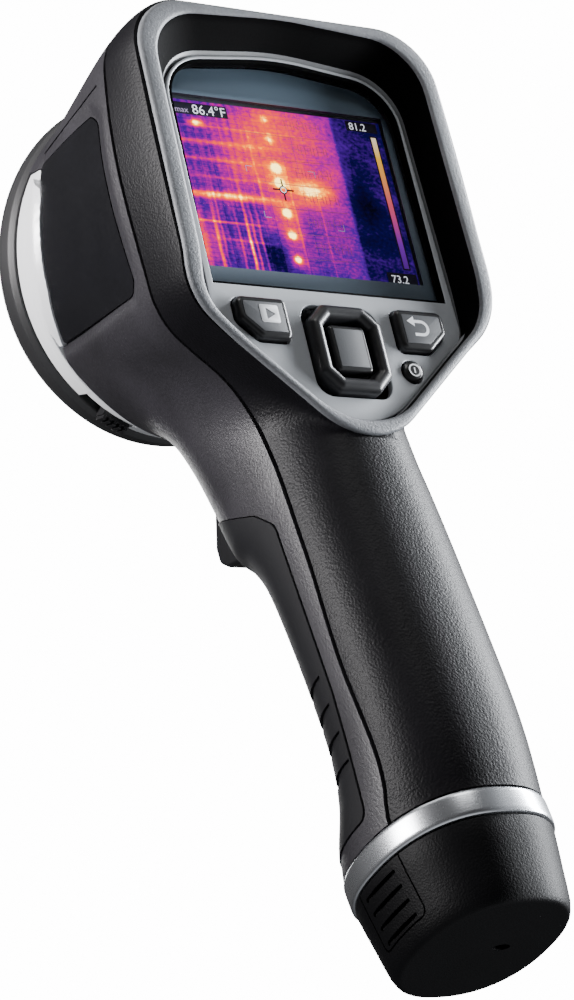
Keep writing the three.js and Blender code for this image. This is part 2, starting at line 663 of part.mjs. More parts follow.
// ------------------------------------------------------------------ lens head
function sector(r0, r1, a0, a1, z0, z1, steps = 6) {
  const outline = [];
  for (let i = 0; i <= steps; i += 1) {
    const a = (a0 + ((a1 - a0) * i) / steps) * DEG;
    outline.push(new THREE.Vector2(r1 * Math.cos(a), r1 * Math.sin(a)));
  }
  for (let i = steps; i >= 0; i -= 1) {
    const a = (a0 + ((a1 - a0) * i) / steps) * DEG;
    outline.push(new THREE.Vector2(r0 * Math.cos(a), r0 * Math.sin(a)));
  }
  return prism(outline, z0, z1, lensFrame);
}
const LEVER_A0 = 110;
const LEVER_A1 = 120;
const trimRing = turned([[40.0, -14], [43.2, -14], [43.5, -12.5], [42.9, -7.6], [40.0, -7.6]], 36, lensFrame)
  .add(flares.intersect(leftSide))
  .add(flares.intersect(rightSide))
  .subtract(sector(39, 46, LEVER_A0 - 1.2, LEVER_A1 + 8.7, -11.4, -7, 8));
add('front_trim_ring', trimRing, 'silver');
const frameRing = turned([[33.2, -19], [35.7, -19], [36.9, -14.4], [36.9, -11.8], [33.2, -11.8]], 28, lensFrame);
add('lens_frame', frameRing, 'black');
const bumper = [[36.2, -6.8], [42.9, -6.8], [43.9, -5.4], [43.8, -0.6], [42.2, 2.6], [39.4, 4.4], [36.2, 4.0]];
add('front_bumper', turned(bumper, 36, lensFrame), 'rubber');
let lever = turned([[36.2, -10.8], [39.6, -10.8], [39.6, -9.4], [36.2, -9.4]], 28, lensFrame)
  .add(sector(39, 44.2, LEVER_A0, LEVER_A1, -10.8, -7.3, 3));
for (let i = 0; i < 5; i += 1) {
  const a = LEVER_A0 + 0.4 + i * 2;
  lever = lever.add(sector(43.8, 45.2, a, a + 1.1, -10.8, -7.3, 1));
}
add('cover_lever', lever, 'black');

const CAMERA_Y = -19;
const PIN = [-27, 16];
const PARK = [3.4, 23.8];
const plateCut = turned([[0, 1.0], [9.0, 1.0], [13, 4], [0, 4]], 28, lensFrame);
const facePlate = prism(circle(0, 0, 35.8, 36), 1.4, 3.0, lensFrame, [circle(0, CAMERA_Y, 3.5, 16)]).subtract(plateCut);
add('front_face_plate', facePlate, 'black');
add('camera_window', turned([[0, 1.6], [3.2, 1.6], [3.2, 2.7], [0, 2.7]], 16, lensFrame, 0, CAMERA_Y), 'glass');
const arm = Math.hypot(PARK[0] - PIN[0], PARK[1] - PIN[1]);
const armGeometry = new THREE.BoxGeometry(arm, 6, 0.8);
armGeometry.rotateZ(Math.atan2(PARK[1] - PIN[1], PARK[0] - PIN[0]));
armGeometry.translate((PARK[0] + PIN[0]) / 2, (PARK[1] + PIN[1]) / 2, 0.6);
const cover = prism(circle(PARK[0], PARK[1], 10.6, 28), 0.2, 1.0, lensFrame)
  .add(solid(armGeometry, lensFrame))
  .add(prism(circle(PIN[0], PIN[1], 3.4, 16), 0.2, 1.0, lensFrame))
  .subtract(prism(circle(PIN[0], PIN[1], 1.5, 10), -1, 2, lensFrame));
add('lens_cover', cover, 'black');
add('cover_pin', turned([[0, -2.9], [1.2, -2.9], [1.2, 1.1], [0, 1.1]], 10, lensFrame, PIN[0], PIN[1]), 'steel');
add('lens_carrier', prism(circle(0, 0, 33.8, 30), -3.2, -0.4, lensFrame, [
  circle(0, 0, 13.6, 20), circle(0, CAMERA_Y, 3.5, 10), circle(PIN[0], PIN[1], 1.5, 10),
]), 'black');
const barrel = [[10.4, -30], [13, -30], [13, -0.4], [9.4, -0.4], [9.4, -2.2], [10.4, -2.2]];
add('lens_barrel', turned(barrel, 22, lensFrame), 'black');
const lens = [[0, -8.8], [7, -8.4], [10.1, -7.4], [10.1, -4.0], [7, -3.0], [0, -2.5]];
add('ir_lens', turned(lens, 22, lensFrame), 'germanium');
add('lens_retaining_ring', turned([[8.2, -11], [10.1, -11], [10.1, -9.2], [8.2, -9.2]], 20, lensFrame), 'steel');
const camera = box(-4.4, 4.4, CAMERA_Y - 4.4, CAMERA_Y + 4.4, -9, -3.5, lensFrame)
  .add(turned([[0, -4], [3.0, -4], [3.0, -0.2], [0, -0.2]], 16, lensFrame, 0, CAMERA_Y));
add('visual_camera_module', camera, 'black');
const core = box(-13, 13, -13, 13, -46.5, -36, lensFrame).add(box(-6, 6, -6, 6, -36.5, -34, lensFrame));
add('ir_core', core, 'gold');
const SHUTTER_Y = 17.5;
const parkX = SHUTTER_Y * Math.sin(48 * DEG);
const parkY = SHUTTER_Y - SHUTTER_Y * Math.cos(48 * DEG);
const paddleArm = new THREE.BoxGeometry(SHUTTER_Y, 3, 0.4);
paddleArm.rotateZ(Math.atan2(SHUTTER_Y - parkY, -parkX));
paddleArm.translate(parkX / 2, (SHUTTER_Y + parkY) / 2, -31.4);
const shutter = prism(circle(parkX, parkY, 6.4, 20), -31.6, -31.2, lensFrame)
  .add(solid(paddleArm, lensFrame))
  .add(prism(circle(0, SHUTTER_Y, 2.6, 14), -31.6, -31.2, lensFrame));
add('nuc_shutter', shutter, 'black');
add('shutter_motor', turned([[0, -44], [3.6, -44], [3.6, -32], [0, -32]], 16, lensFrame, 0, SHUTTER_Y), 'steel');

// ------------------------------------------------------------------ port
const socketFrame = new THREE.Matrix4().makeTranslation(0, -26, 226).multiply(new THREE.Matrix4().makeRotationX(24 * DEG));
const socket = box(-4.4, 4.4, -4, 4, -4, 2.2, socketFrame).subtract(box(-3.6, 3.6, -1.4, 1.4, -1.2, 4, socketFrame));
add('usb_socket', socket, 'steel');

// ------------------------------------------------------------------ trigger
const TRIGGER = [
  [11.4, 138.6, 2.0], [20.6, 138.6, 1.5], [28.4, 125.2, 2.5], [28.8, 121.4, 2.0],
  [26.4, 118.6, 2.0], [18.5, 115.4, 1.5], [13.4, 116.6, 1.0], [11.2, 133, 1.5],
];
const PIVOT = [13.5, 136];
const triggerPin = (y, z, r, sides) => circle(y, z, r, sides);
const trigger = prism(rounded(TRIGGER, 2), -8.1, 8.1, sideFrame, [triggerPin(PIVOT[0], PIVOT[1], 1.5, 10)]);
add('trigger', trigger, 'black');
add('trigger_pin', prism(triggerPin(PIVOT[0], PIVOT[1], 1.2, 10), -10.4, 10.4, sideFrame), 'steel');
const bracket = box(-10.2, 10.2, 3.4, 5, 114, 138)
  .add(box(-10.2, -9.0, 3.4, 15.2, 132.5, 138).add(box(9.0, 10.2, 3.4, 15.2, 132.5, 138)))
  .subtract(prism(triggerPin(PIVOT[0], PIVOT[1], 1.5, 10), -20, 20, sideFrame));
add('trigger_bracket', bracket, 'steel');
add('trigger_switch', box(-4, 4, 5.3, 9.8, 117, 124), 'black');
const spring = sideRegion([
  [5.3, 127], [5.8, 127], [5.8, 129], [8.9, 131.4], [9.5, 125.6], [9.9, 125.7], [9.3, 132.2], [5.3, 129.4],
], 3);
add('trigger_spring', spring, 'steel');

// ------------------------------------------------------------ base and battery
function superellipse(cx, cy, a, b, sides, n = 2.3) {
  const out = [];
  for (let i = 0; i < sides; i += 1) {
    const t = (2 * Math.PI * (i + 0.5)) / sides;
    const c = Math.cos(t);
    const s = Math.sin(t);
    const r = Math.pow(Math.pow(Math.abs(c), n) + Math.pow(Math.abs(s), n), -1 / n);
    out.push(new THREE.Vector2(cx + a * r * c, cy + b * r * s));
  }
  return out;
}
const baseRing = prism(superellipse(0, BASE_Y, BASE_HALF_X + 0.2, BASE_HALF_Y + 0.2, 36), BASE_RING_Z0, BASE_RING_Z1)
  .subtract(prism(superellipse(0, BASE_Y, BASE_HALF_X - 2.6, BASE_HALF_Y - 2.6, 26), BASE_RING_Z0 - 1, BASE_RING_Z1 + 1));
add('base_ring', baseRing, 'silver');
const CAP = [[0, 0.82], [0.9, 0.858], [2.8, 0.885], [10, 0.93], [CAP_TOP, 0.985]];
const capRings = CAP.map(([z, s]) => superellipse(0, BASE_Y * (z / CAP_TOP), BASE_HALF_X * s, BASE_HALF_Y * s, 36)
  .map((p) => new THREE.Vector3(p.x, p.y, z)));
let cap = solid(stacked(capRings));
// latch pads in the cap's sides: y extent, lower edge; the pockets are open at the top
const LATCH_Y = [-8.6, 8.6];
const LATCH_Z = 4.4;
const LATCH_RIDGES = [5.9, 9.4, 12.9, 16.4];
const acrossSide = (side, x0, x1, y0, y1, z0, z1) => (
  side > 0 ? box(x0, x1, y0, y1, z0, z1) : box(-x1, -x0, y0, y1, z0, z1));
const capBlank = cap;
for (const side of [-1, 1]) {
  cap = cap.subtract(acrossSide(side, 14.6, 40, LATCH_Y[0], LATCH_Y[1], LATCH_Z, CAP_TOP + 1));
}
cap = cap.subtract(prism(superellipse(3.9, -1.0, 2.2, 1.2, 14, 2), -1, 1.2));
add('battery_cap', cap, 'rubber');
add('battery_pack', prism(rounded([[-13, -17, 3], [13, -17, 3], [13, 4.4, 3], [-13, 4.4, 3]], 2), 19.4, 104), 'battery');
for (const [name, side] of [['latch_left', -1], ['latch_right', 1]]) {
  let pad = capBlank.intersect(
    acrossSide(side, 17, 40, LATCH_Y[0] + 0.4, LATCH_Y[1] - 0.4, LATCH_Z + 0.4, CAP_TOP + 1));
  for (const z of LATCH_RIDGES) {
    const surface = BASE_HALF_X * (0.867 + 0.0062 * z); // half width of the cap at this height
    pad = pad.subtract(acrossSide(side, surface - 0.9, 40, -5.9, 6.4, z - 0.5, z + 0.5));
  }
  add(name, pad, 'rubber');
}
add('battery_contacts', box(-8, 8, -14, -4, 104.5, 108.5), 'gold');

const group = new THREE.Group();
group.name = 'thermal_camera';
for (const mesh of pieces) group.add(mesh);
export default group;
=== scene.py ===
"""Looks of a hand-held thermal imaging camera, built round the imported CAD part.

Lengths are in millimetres in this file and become metres as each mesh is made.
Row frame: origin at the flat bottom of the battery cap, +Z up the handle, +Y forward, +X the user's right.
"""

import math

import bpy
import numpy as np
from mathutils import Matrix, Vector


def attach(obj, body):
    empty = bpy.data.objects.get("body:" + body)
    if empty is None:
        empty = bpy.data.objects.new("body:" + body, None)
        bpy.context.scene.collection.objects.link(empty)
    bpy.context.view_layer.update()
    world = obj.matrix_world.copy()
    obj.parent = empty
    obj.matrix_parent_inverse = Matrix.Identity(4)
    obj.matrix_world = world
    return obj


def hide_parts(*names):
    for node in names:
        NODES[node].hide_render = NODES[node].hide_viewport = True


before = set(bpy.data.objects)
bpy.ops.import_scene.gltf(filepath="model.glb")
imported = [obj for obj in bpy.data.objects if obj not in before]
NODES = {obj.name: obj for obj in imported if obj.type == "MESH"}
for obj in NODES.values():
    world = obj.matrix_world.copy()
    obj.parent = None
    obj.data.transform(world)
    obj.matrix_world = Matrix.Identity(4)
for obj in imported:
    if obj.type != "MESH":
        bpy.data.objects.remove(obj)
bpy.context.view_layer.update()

# ---------------------------------------------------------------- dimensions
WALL = 3.0
DISPLAY_LEAN = math.radians(11)
DISPLAY_Y, DISPLAY_Z = -33.7, 182.2
LENS_ELEVATION = math.radians(30)
LENS_Y, LENS_Z = 23.3, 207.0
RING_RADIUS = 43.2
GRIP = [
    [19, -23.8, 23.8, 21.0], [26, -24.2, 23.6, 21.0], [32, -25.2, 21.0, 20.9], [40, -26.2, 15.2, 20.5],
    [50, -27.0, 11.8, 20.2], [65, -27.5, 10.8, 20.0], [85, -27.8, 11.0, 20.0], [98, -28.0, 12.2, 20.0],
    [106, -28.3, 15.2, 20.0], [113, -28.5, 19.6, 20.2], [125, -29.0, 21.6, 20.4], [140, -29.2, 23.6, 21.5],
    [155, -29.0, 27.2, 23.5], [172, -27.0, 33.0, 26.0],
]
GRIP_EXPONENT = 2.3
GRIP_TOP = 172
NECK_BLEND = 9
HOUSING_BOTTOM = 25.9
BASE_HALF_X, BASE_HALF_Y, BASE_Y = 21.2, 24.0, -0.2
SEAM = [
    [18, -9.5], [27, -9.6], [34, -12.0], [43, -13.2], [65, -12.9], [90, -14.7], [115, -15.2], [131, -15.2],
    [144, -18.6], [153, -23.0], [165, -26.6], [188, -32.3], [209, -37.0], [245, -44.5],
]
RIM_W, RIM_V_W, LIP = 12, 8.2, 1.1  # height of the surround's rim, at the sides and at the foot, and its lip
RIM_V0, RIM_V1 = -46, -22  # where the rim rises from the one to the other
HEAD_REAR_V, HEAD_FRONT_V = 5, 11.2
HEAD_FRONT_INSET, HEAD_BULGE = 7, 3.0
HEAD_FLATTENING = math.cos(math.radians(19))
NAV_V = -44.3
POWER = (17.2, -48.2)


def mirrored(half):
    """Completes a right-half outline, clockwise from the top, with its left half."""
    return half + [[-u, v, r] for u, v, r in half if u > 0][::-1]


HOOD_OUTLINE = mirrored([[41.6, 42.3, 15], [42.3, -34.7, 16], [0, -72.8, 19]])
HOOD_INNER = mirrored([[0, 40.6, 90], [37.0, 38.0, 14], [38.0, -35.1, 12], [0, -69.6, 20]])
PANEL_OUTLINE = mirrored([[0, 34.4, 70], [32.6, 30.4, 13], [34.3, -37.9, 6], [0, -68.8, 20]])
WINDOW_OUTLINE = mirrored([[0, 32.6, 70], [31.3, 28.8, 11], [32.4, -29.2, 1.6]])
BUTTON_OUTLINE = [
    [14.6, -32.3, 2], [28.9, -32.3, 2.4], [28.9, -38.7, 2.4], [23.6, -43.5, 2.4], [14.6, -43.5, 2],
]
# Side badges in (y, z): the glossy panel, its pocket, and the silver flare ahead of it.
BADGE = [
    [21.6, 179.0, 0.8], [-16.3, 161.9, 3], [-19.5, 164.1, 3], [-29.5, 203, 4], [-27, 207, 4], [2.2, 218, 0.8],
    [1.0, 209.6, 1], [1.2, 207, 1], [5.9, 198.4, 4], [12.6, 187.9, 8],
]
BADGE_POCKET = [
    [30, 182.5, 0], [-16.3, 161.9, 3], [-19.5, 164.1, 3], [-29.5, 203, 4], [-27, 207, 4], [3, 218.3, 0], [14, 222, 0],
]
FLARE = [
    [22.1, 179.3, 0], [12.9, 188.2, 8], [6.2, 198.5, 4], [1.5, 207.1, 1], [1.3, 209.6, 1], [3.3, 214.6, 0],
    [24.8, 180.8, 0],
]
PARTING = [[-33, 210.9], [-23.9, 212.6], [-12.9, 215.5], [-1.6, 219.0], [6.2, 220.9]]
PARTING_HALF = 0.32
OVERLAY = [[40, 30.5, 0], [-4.5, 30.5, 3], [-7.6, 60, 0], [-9.4, 104, 5], [-4, 110.5, 6], [40, 139, 0]]
TRIGGER = [
    [11.4, 138.6, 2.0], [20.6, 138.6, 1.5], [28.4, 125.2, 2.5], [28.8, 121.4, 2.0],
    [26.4, 118.6, 2.0], [18.5, 115.4, 1.5], [13.4, 116.6, 1.0], [11.2, 133, 1.5],
]
LEVER_A0, LEVER_A1 = 110, 120
COLLAR_A0, COLLAR_A1 = 206.4, 333.6
GRIP_NOTCH_Z, GRIP_NOTCH_STEP = 43.4, 7.15

# --------------------------------------------------------------------- frames
ROW = np.eye(4)
_cl, _sl = math.cos(DISPLAY_LEAN), math.sin(DISPLAY_LEAN)
DISPLAY = np.array([[1, 0, 0, 0], [0, -_sl, -_cl, DISPLAY_Y], [0, _cl, -_sl, DISPLAY_Z], [0, 0, 0, 1.0]])
_ce, _se = math.cos(LENS_ELEVATION), math.sin(LENS_ELEVATION)
LENS = np.array([[1, 0, 0, 0], [0, _se, _ce, LENS_Y], [0, -_ce, _se, LENS_Z], [0, 0, 0, 1.0]])
SIDE = np.array([[0, 0, 1, 0], [1, 0, 0, 0], [0, 1, 0, 0], [0, 0, 0, 1.0]])
DISPLAY_SIDE = DISPLAY @ SIDE


def placed(points, matrix):
    """Points of a local frame in the row frame."""
    points = np.asarray(points, float).reshape(-1, 3)
    return points @ matrix[:3, :3].T + matrix[:3, 3]


# -------------------------------------------------------------------- outlines
def rounded(points, steps=8):
    """A polygon with arcs at its corners."""
    out = []
    count = len(points)
    for i, (x, y, radius) in enumerate(points):
        p = np.array([x, y], float)
        a = np.array(points[i - 1][:2], float) - p
        b = np.array(points[(i + 1) % count][:2], float) - p
        la, lb = np.linalg.norm(a), np.linalg.norm(b)
        half = math.acos(max(-1, min(1, a @ b / la / lb))) / 2
        if not radius:
            out.append(p)
            continue
        tangent = min(radius / math.tan(half), 0.49 * la, 0.49 * lb)
        r = tangent * math.tan(half)
        start, end = p + a / la * tangent, p + b / lb * tangent
        middle = a / la + b / lb
        centre = p + middle / np.linalg.norm(middle) * (r / math.sin(half))
        a0 = math.atan2(*(start - centre)[::-1])
        sweep = (math.atan2(*(end - centre)[::-1]) - a0 + math.pi) % (2 * math.pi) - math.pi
        turns = a0 + sweep * np.arange(steps + 1) / steps
        out += list(centre + r * np.stack([np.cos(turns), np.sin(turns)], 1))
    return np.array(out)


def box(x0, x1, y0, y1, radius=0):
    """A rectangle's outline."""
    return [[x0, y0, radius], [x1, y0, radius], [x1, y1, radius], [x0, y1, radius]]


def area(outline):
    x, y = np.asarray(outline)[:, 0], np.asarray(outline)[:, 1]
    return 0.5 * float(np.sum(x * np.roll(y, -1) - np.roll(x, -1) * y))


def offset(points, distance):
    """A polygon's edges moved outwards (positive) or inwards."""
    side = 1 if area([p[:2] for p in points]) < 0 else -1
    count = len(points)
    edges = []
    for i, p in enumerate(points):
        d = np.array(points[(i + 1) % count][:2], float) - np.array(p[:2], float)
        d /= np.linalg.norm(d)
        edges.append((np.array(p[:2], float) + np.array([-d[1], d[0]]) * side * distance, d))
    out = []
    for i, p in enumerate(points):
        (ep, ed), (fp, fd) = edges[i - 1], edges[i]
        cross = ed[0] * fd[1] - ed[1] * fd[0]
        t = ((fp[0] - ep[0]) * fd[1] - (fp[1] - ep[1]) * fd[0]) / cross
        turn = 1 if cross * side < 0 else -1
        out.append([ep[0] + ed[0] * t, ep[1] + ed[1] * t, max(0, p[2] + turn * distance) if p[2] else 0])
    return out


def circle(x, y, radius, sides=48):
    a = np.arange(sides) * 2 * math.pi / sides
    return np.stack([x + radius * np.cos(a), y + radius * np.sin(a)], 1)


def polar(outline, angles, centre=(0, HEAD_REAR_V)):
    """Distance from a centre to an outline in each direction."""
    p = np.asarray(outline, float)
    e = np.roll(p, -1, 0) - p
    dx, dy = np.cos(angles)[:, None], np.sin(angles)[:, None]
    det = e[:, 0] * dy - e[:, 1] * dx
    det = np.where(abs(det) < 1e-12, 1e-12, det)
    qx, qy = centre[0] - p[:, 0], centre[1] - p[:, 1]
    t = (qx * dy - qy * dx) / det
    s = (e[:, 1] * qx - e[:, 0] * qy) / det
    hit = (t >= -1e-9) & (t <= 1 + 1e-9) & (s > 0)
    return np.where(hit, s, 1e9).min(1)


# ------------------------------------------------------- form of the housing
def table(rows, x, column):
    """Cubic through the rows of a table, by its first column."""
    rows = np.array(rows, float)
    xs, ys = rows[:, 0], rows[:, column]
    slope = np.zeros(len(xs))
    slope[1:-1] = (ys[2:] - ys[:-2]) / (xs[2:] - xs[:-2])
    x = np.clip(x, xs[0], xs[-1])
    i = np.clip(np.searchsorted(xs, x, side="right") - 1, 0, len(xs) - 2)
    h = xs[i + 1] - xs[i]
    t = (x - xs[i]) / h
    return (
        ys[i] * (2 * t**3 - 3 * t**2 + 1) + ys[i + 1] * (3 * t**2 - 2 * t**3)
        + h * slope[i] * (t**3 - 2 * t**2 + t) + h * slope[i + 1] * (t**3 - t**2)
    )


def smoothstep(a, b, x):
    t = np.clip((x - a) / (b - a), 0, 1)
    return t * t * (3 - 2 * t)


def rim_height(v):
    return RIM_V_W + (RIM_W - RIM_V_W) * smoothstep(RIM_V0, RIM_V1, v)


POLAR_ANGLES = np.linspace(0, 2 * math.pi, 1441)
POLAR_TABLE = polar(rounded(HOOD_OUTLINE, 16), POLAR_ANGLES)


def head_field(x, y, z):
    """Distance outside the head, which runs from the surround's outline to the round lens end."""
    dy, dz = y - DISPLAY_Y, z - DISPLAY_Z
    u, v, w = x, -_sl * dy + _cl * dz, -_cl * dy - _sl * dz
    lens_z = (y - LENS_Y) * _ce + (z - LENS_Z) * _se
    front, rear = -lens_z - HEAD_FRONT_INSET, RIM_W - w
    t = np.clip(rear / np.maximum(1, rear + front), 0, 1.15)
    m = smoothstep(0, 1, t) * 0.5 + t * 0.5
    cv = HEAD_REAR_V + (HEAD_FRONT_V - HEAD_REAR_V) * t
    angle = np.arctan2(v - cv, u)
    round_radius = RING_RADIUS / np.hypot(np.cos(angle), np.sin(angle) / HEAD_FLATTENING)
    bulge = HEAD_BULGE * np.sin(math.pi * np.minimum(1, t) ** 0.6) * abs(np.cos(angle))
    radius = np.interp(angle % (2 * math.pi), POLAR_ANGLES, POLAR_TABLE) * (1 - m) + round_radius * m + bulge
    reach = rim_height(v) + 3 + 7 * smoothstep(RIM_V0, RIM_V1, v)
    return np.maximum(np.maximum(np.hypot(u, v - cv) - radius, w - reach), lens_z + 4)


def grip_field(x, y, z):
    """Distance outside the handle, whose sections are rounded ovals."""
    yr, yf, a = table(GRIP, z, 1), table(GRIP, z, 2), table(GRIP, z, 3)
    b = (yf - yr) / 2
    q = abs(x / a) ** GRIP_EXPONENT + abs((y - (yf + yr) / 2) / b) ** GRIP_EXPONENT
    return np.maximum((q ** (1 / GRIP_EXPONENT) - 1) * np.minimum(a, b), z - GRIP_TOP)


def body_field(x, y, z):
    """Distance outside the head and handle, blended at the neck."""
    h, g = head_field(x, y, z), grip_field(x, y, z)
    rearward = (DISPLAY_Y - y) * _cl - (z - DISPLAY_Z) * _sl
    blend = NECK_BLEND - (NECK_BLEND - 2) * smoothstep(-8, 6, rearward)
    k = np.maximum(0, blend - abs(h - g))
    return np.minimum(h, g) - k * k / (4 * blend)


def badge_bevel(y, z):
    """Depth of the slope that runs down to the side badges."""
    ends = np.array(BADGE_POCKET)[:, :2]
    ways = np.roll(ends, -1, 0) - ends
    ways /= np.linalg.norm(ways, axis=1)[:, None]
    away = np.full(len(y), -1e9)
    for (ey, ez), (wy, wz) in zip(ends, ways):
        away = np.maximum(away, (y - ey) * -wz + (z - ez) * wy)
    return 1.0 - smoothstep(0, 3.2, away)


def flare_bevel(y, z):
    """Depth of the chamfer along the rear edge of the silver flares."""
    near = np.full(len(y), 1e9)
    path = np.array(FLARE)[:5, :2]
    for (ay, az), (by, bz) in zip(path, path[1:]):
        t = np.clip(((y - ay) * (by - ay) + (z - az) * (bz - az)) / ((by - ay) ** 2 + (bz - az) ** 2), 0, 1)
        near = np.minimum(near, np.hypot(y - ay - t * (by - ay), z - az - t * (bz - az)))
    return 1.1 * np.clip(1 - (near - 0.2) / 1.7, 0, 1)


def body_surface(depth, sides, step, dome, relief=None):
    """Closed mesh of the housing's form moved inwards by a depth."""
    levels = np.r_[np.arange(20, 96, step), np.arange(96, 128, step / 2.5), np.arange(128, 200.01, step)]
    a = (np.arange(sides) + 0.5) * 2 * math.pi / sides
    origins, ways = [], []
    for z in levels:
        origins.append(np.tile([0, -7 - 9 * float(smoothstep(130, 200, z)), z], (sides, 1)))
        ways.append(np.stack([np.cos(a), np.sin(a), 0 * a], 1))
    for j in range(1, dome):
        e = j / dome * math.pi / 2
        origins.append(np.tile([0, -16.0, 200.0], (sides, 1)))
        ways.append(np.stack([np.cos(a) * math.cos(e), np.sin(a) * math.cos(e), math.sin(e) + 0 * a], 1))
    o, d = np.concatenate(origins), np.concatenate(ways)

    def value(s, k=slice(None)):
        p = o[k] + d[k] * s[:, None]
        field = body_field(p[:, 0], p[:, 1], p[:, 2]) + depth
        return field + relief(p[:, 1], p[:, 2]) if relief else field

    low, high = np.zeros(len(o)), np.ones(len(o))
    active = np.arange(len(o))
    while len(active):
        inside = value(high[active], active) < 0
        active = active[inside & (high[active] < 120)]
        low[active] = high[active]
        high[active] += 1
    for _ in range(14):
        mid = (low + high) / 2
        inside = value(mid) < 0
        low, high = np.where(inside, mid, low), np.where(inside, high, mid)
    points = o + d * ((low + high) / 2)[:, None]
    return loft(points.reshape(-1, sides, 3), cap=True)


# ------------------------------------------------------------------- meshes
def loft(rings, cap=False, closed=False):
    """(points, faces) of a surface through equal rings; cap closes both ends, closed joins last to first."""
    rings = np.asarray(rings, float)
    rows, sides = rings.shape[:2]
    points = rings.reshape(-1, 3)
    last = rows if closed else rows - 1
    j, i = np.meshgrid(np.arange(last), np.arange(sides), indexing="ij")
    a, b = j * sides + i, j * sides + (i + 1) % sides
    c, d = (j + 1) % rows * sides + (i + 1) % sides, (j + 1) % rows * sides + i
    faces = np.stack([a, b, c, d], -1).reshape(-1, 4).tolist()
    if cap:
        faces.append(list(range(sides))[::-1])
        faces.append(list(range((rows - 1) * sides, rows * sides)))
    return points, faces


def make(name, points, faces):
    """A mesh object from points in millimetres of the row frame, with its faces turned outwards."""
    mesh = bpy.data.meshes.new(name)
    mesh.from_pydata((np.asarray(points, float) * 0.001).tolist(), [], [list(f) for f in faces])
    mesh.validate()
    obj = bpy.data.objects.new(name, mesh)
    bpy.context.scene.collection.objects.link(obj)
    total = sum((Vector(p.center).dot(p.normal) * p.area for p in mesh.polygons), 0.0)
    if total < 0:
        mesh.flip_normals()
    return obj


def applied(obj):
    """The object with its modifiers made part of its mesh."""
    bpy.context.view_layer.update()
    graph = bpy.context.evaluated_depsgraph_get()
    mesh = bpy.data.meshes.new_from_object(obj.evaluated_get(graph))
    old = obj.data
    obj.modifiers.clear()
    obj.data = mesh
    bpy.data.meshes.remove(old)
    return obj


def cut(obj, *others, how="DIFFERENCE", keep=False):
    """Cuts, joins or intersects obj with others, which are used up unless kept."""
    for i, other in enumerate(others):
        m = obj.modifiers.new(f"cut{i}", "BOOLEAN")
        m.operation = how
        m.object = other
        m.solver = "MANIFOLD"
    applied(obj)
    if not keep:
        for other in others:
            bpy.data.objects.remove(other)
    return obj


def copied(obj, name="copy"):
    other = obj.copy()
    other.data = obj.data.copy()
    other.name = name
    bpy.context.scene.collection.objects.link(other)
    return other


def slab(outline, z0, z1, matrix=ROW, name="slab"):
    """An outline pulled from z0 to z1 in a local frame."""
    outline = np.asarray(outline, float)[:, :2]
    rings = [placed(np.c_[outline, np.full(len(outline), z)], matrix) for z in (z0, z1)]
    return make(name, *loft(rings, cap=True))


def block(x0, x1, y0, y1, z0, z1, matrix=ROW, name="block"):
    return slab([[x0, y0], [x1, y0], [x1, y1], [x0, y1]], z0, z1, matrix, name)


def plate(name, outlines, z0, z1, matrix, bevel=0.3, segments=4):
    """A plate with holes and rounded edges, from 2-D outlines."""
    curve = bpy.data.curves.new(name, "CURVE")
    curve.dimensions = "2D"
    curve.fill_mode = "BOTH"
    curve.extrude = (z1 - z0) / 2 - bevel
    curve.bevel_depth = bevel
    curve.bevel_resolution = segments
    curve.offset = -bevel
    for outline in outlines:
        outline = np.asarray(outline, float)
        spline = curve.splines.new("POLY")
        spline.points.add(len(outline) - 1)
        flat = np.c_[outline[:, :2], np.zeros(len(outline)), np.ones(len(outline))]
        spline.points.foreach_set("co", flat.ravel())
        spline.use_cyclic_u = True
    holder = bpy.data.objects.new(name + "_curve", curve)
    bpy.context.scene.collection.objects.link(holder)
    bpy.context.view_layer.update()
    mesh = bpy.data.meshes.new_from_object(holder.evaluated_get(bpy.context.evaluated_depsgraph_get()))
    bpy.data.objects.remove(holder)
    shift = Matrix.Translation((0, 0, (z0 + z1) / 2))
    scale = Matrix.Scale(0.001, 4)
    mesh.transform(scale @ Matrix(matrix.tolist()) @ shift)
    mesh.name = name
    obj = bpy.data.objects.new(name, mesh)
    bpy.context.scene.collection.objects.link(obj)
    weld(obj)
    return obj


def weld(obj, distance=1e-6):
    m = obj.modifiers.new("weld", "WELD")
    m.merge_threshold = distance
    return applied(obj)


def turned(name, profile, matrix, x=0, y=0, sides=128, a0=0, a1=360):
    """A body of revolution, or a sector of one, from (radius, height) pairs closed on itself."""
    profile = np.asarray(profile, float)
    full = a1 - a0 >= 360
    count = sides if full else max(2, int(sides * (a1 - a0) / 360) + 1)
    angles = np.radians(np.linspace(a0, a1, count, endpoint=not full))
    rings = []
    for a in angles:
        ring = np.stack([x + profile[:, 0] * math.cos(a), y + profile[:, 0] * math.sin(a), profile[:, 1]], 1)
        rings.append(placed(ring, matrix))
    return make(name, *loft(rings, cap=not full, closed=full))


def smooth(obj, angle=32):
    """Smooth shading with creases above an angle."""
    mesh = obj.data
    mesh.shade_smooth()
    mesh.set_sharp_from_angle(angle=math.radians(angle))
    return obj


def joined(main, *others):
    """One object from several, with their materials kept."""
    chosen = [main, *others]
    with bpy.context.temp_override(active_object=main, selected_editable_objects=chosen, selected_objects=chosen):
        bpy.ops.object.join()
    return main


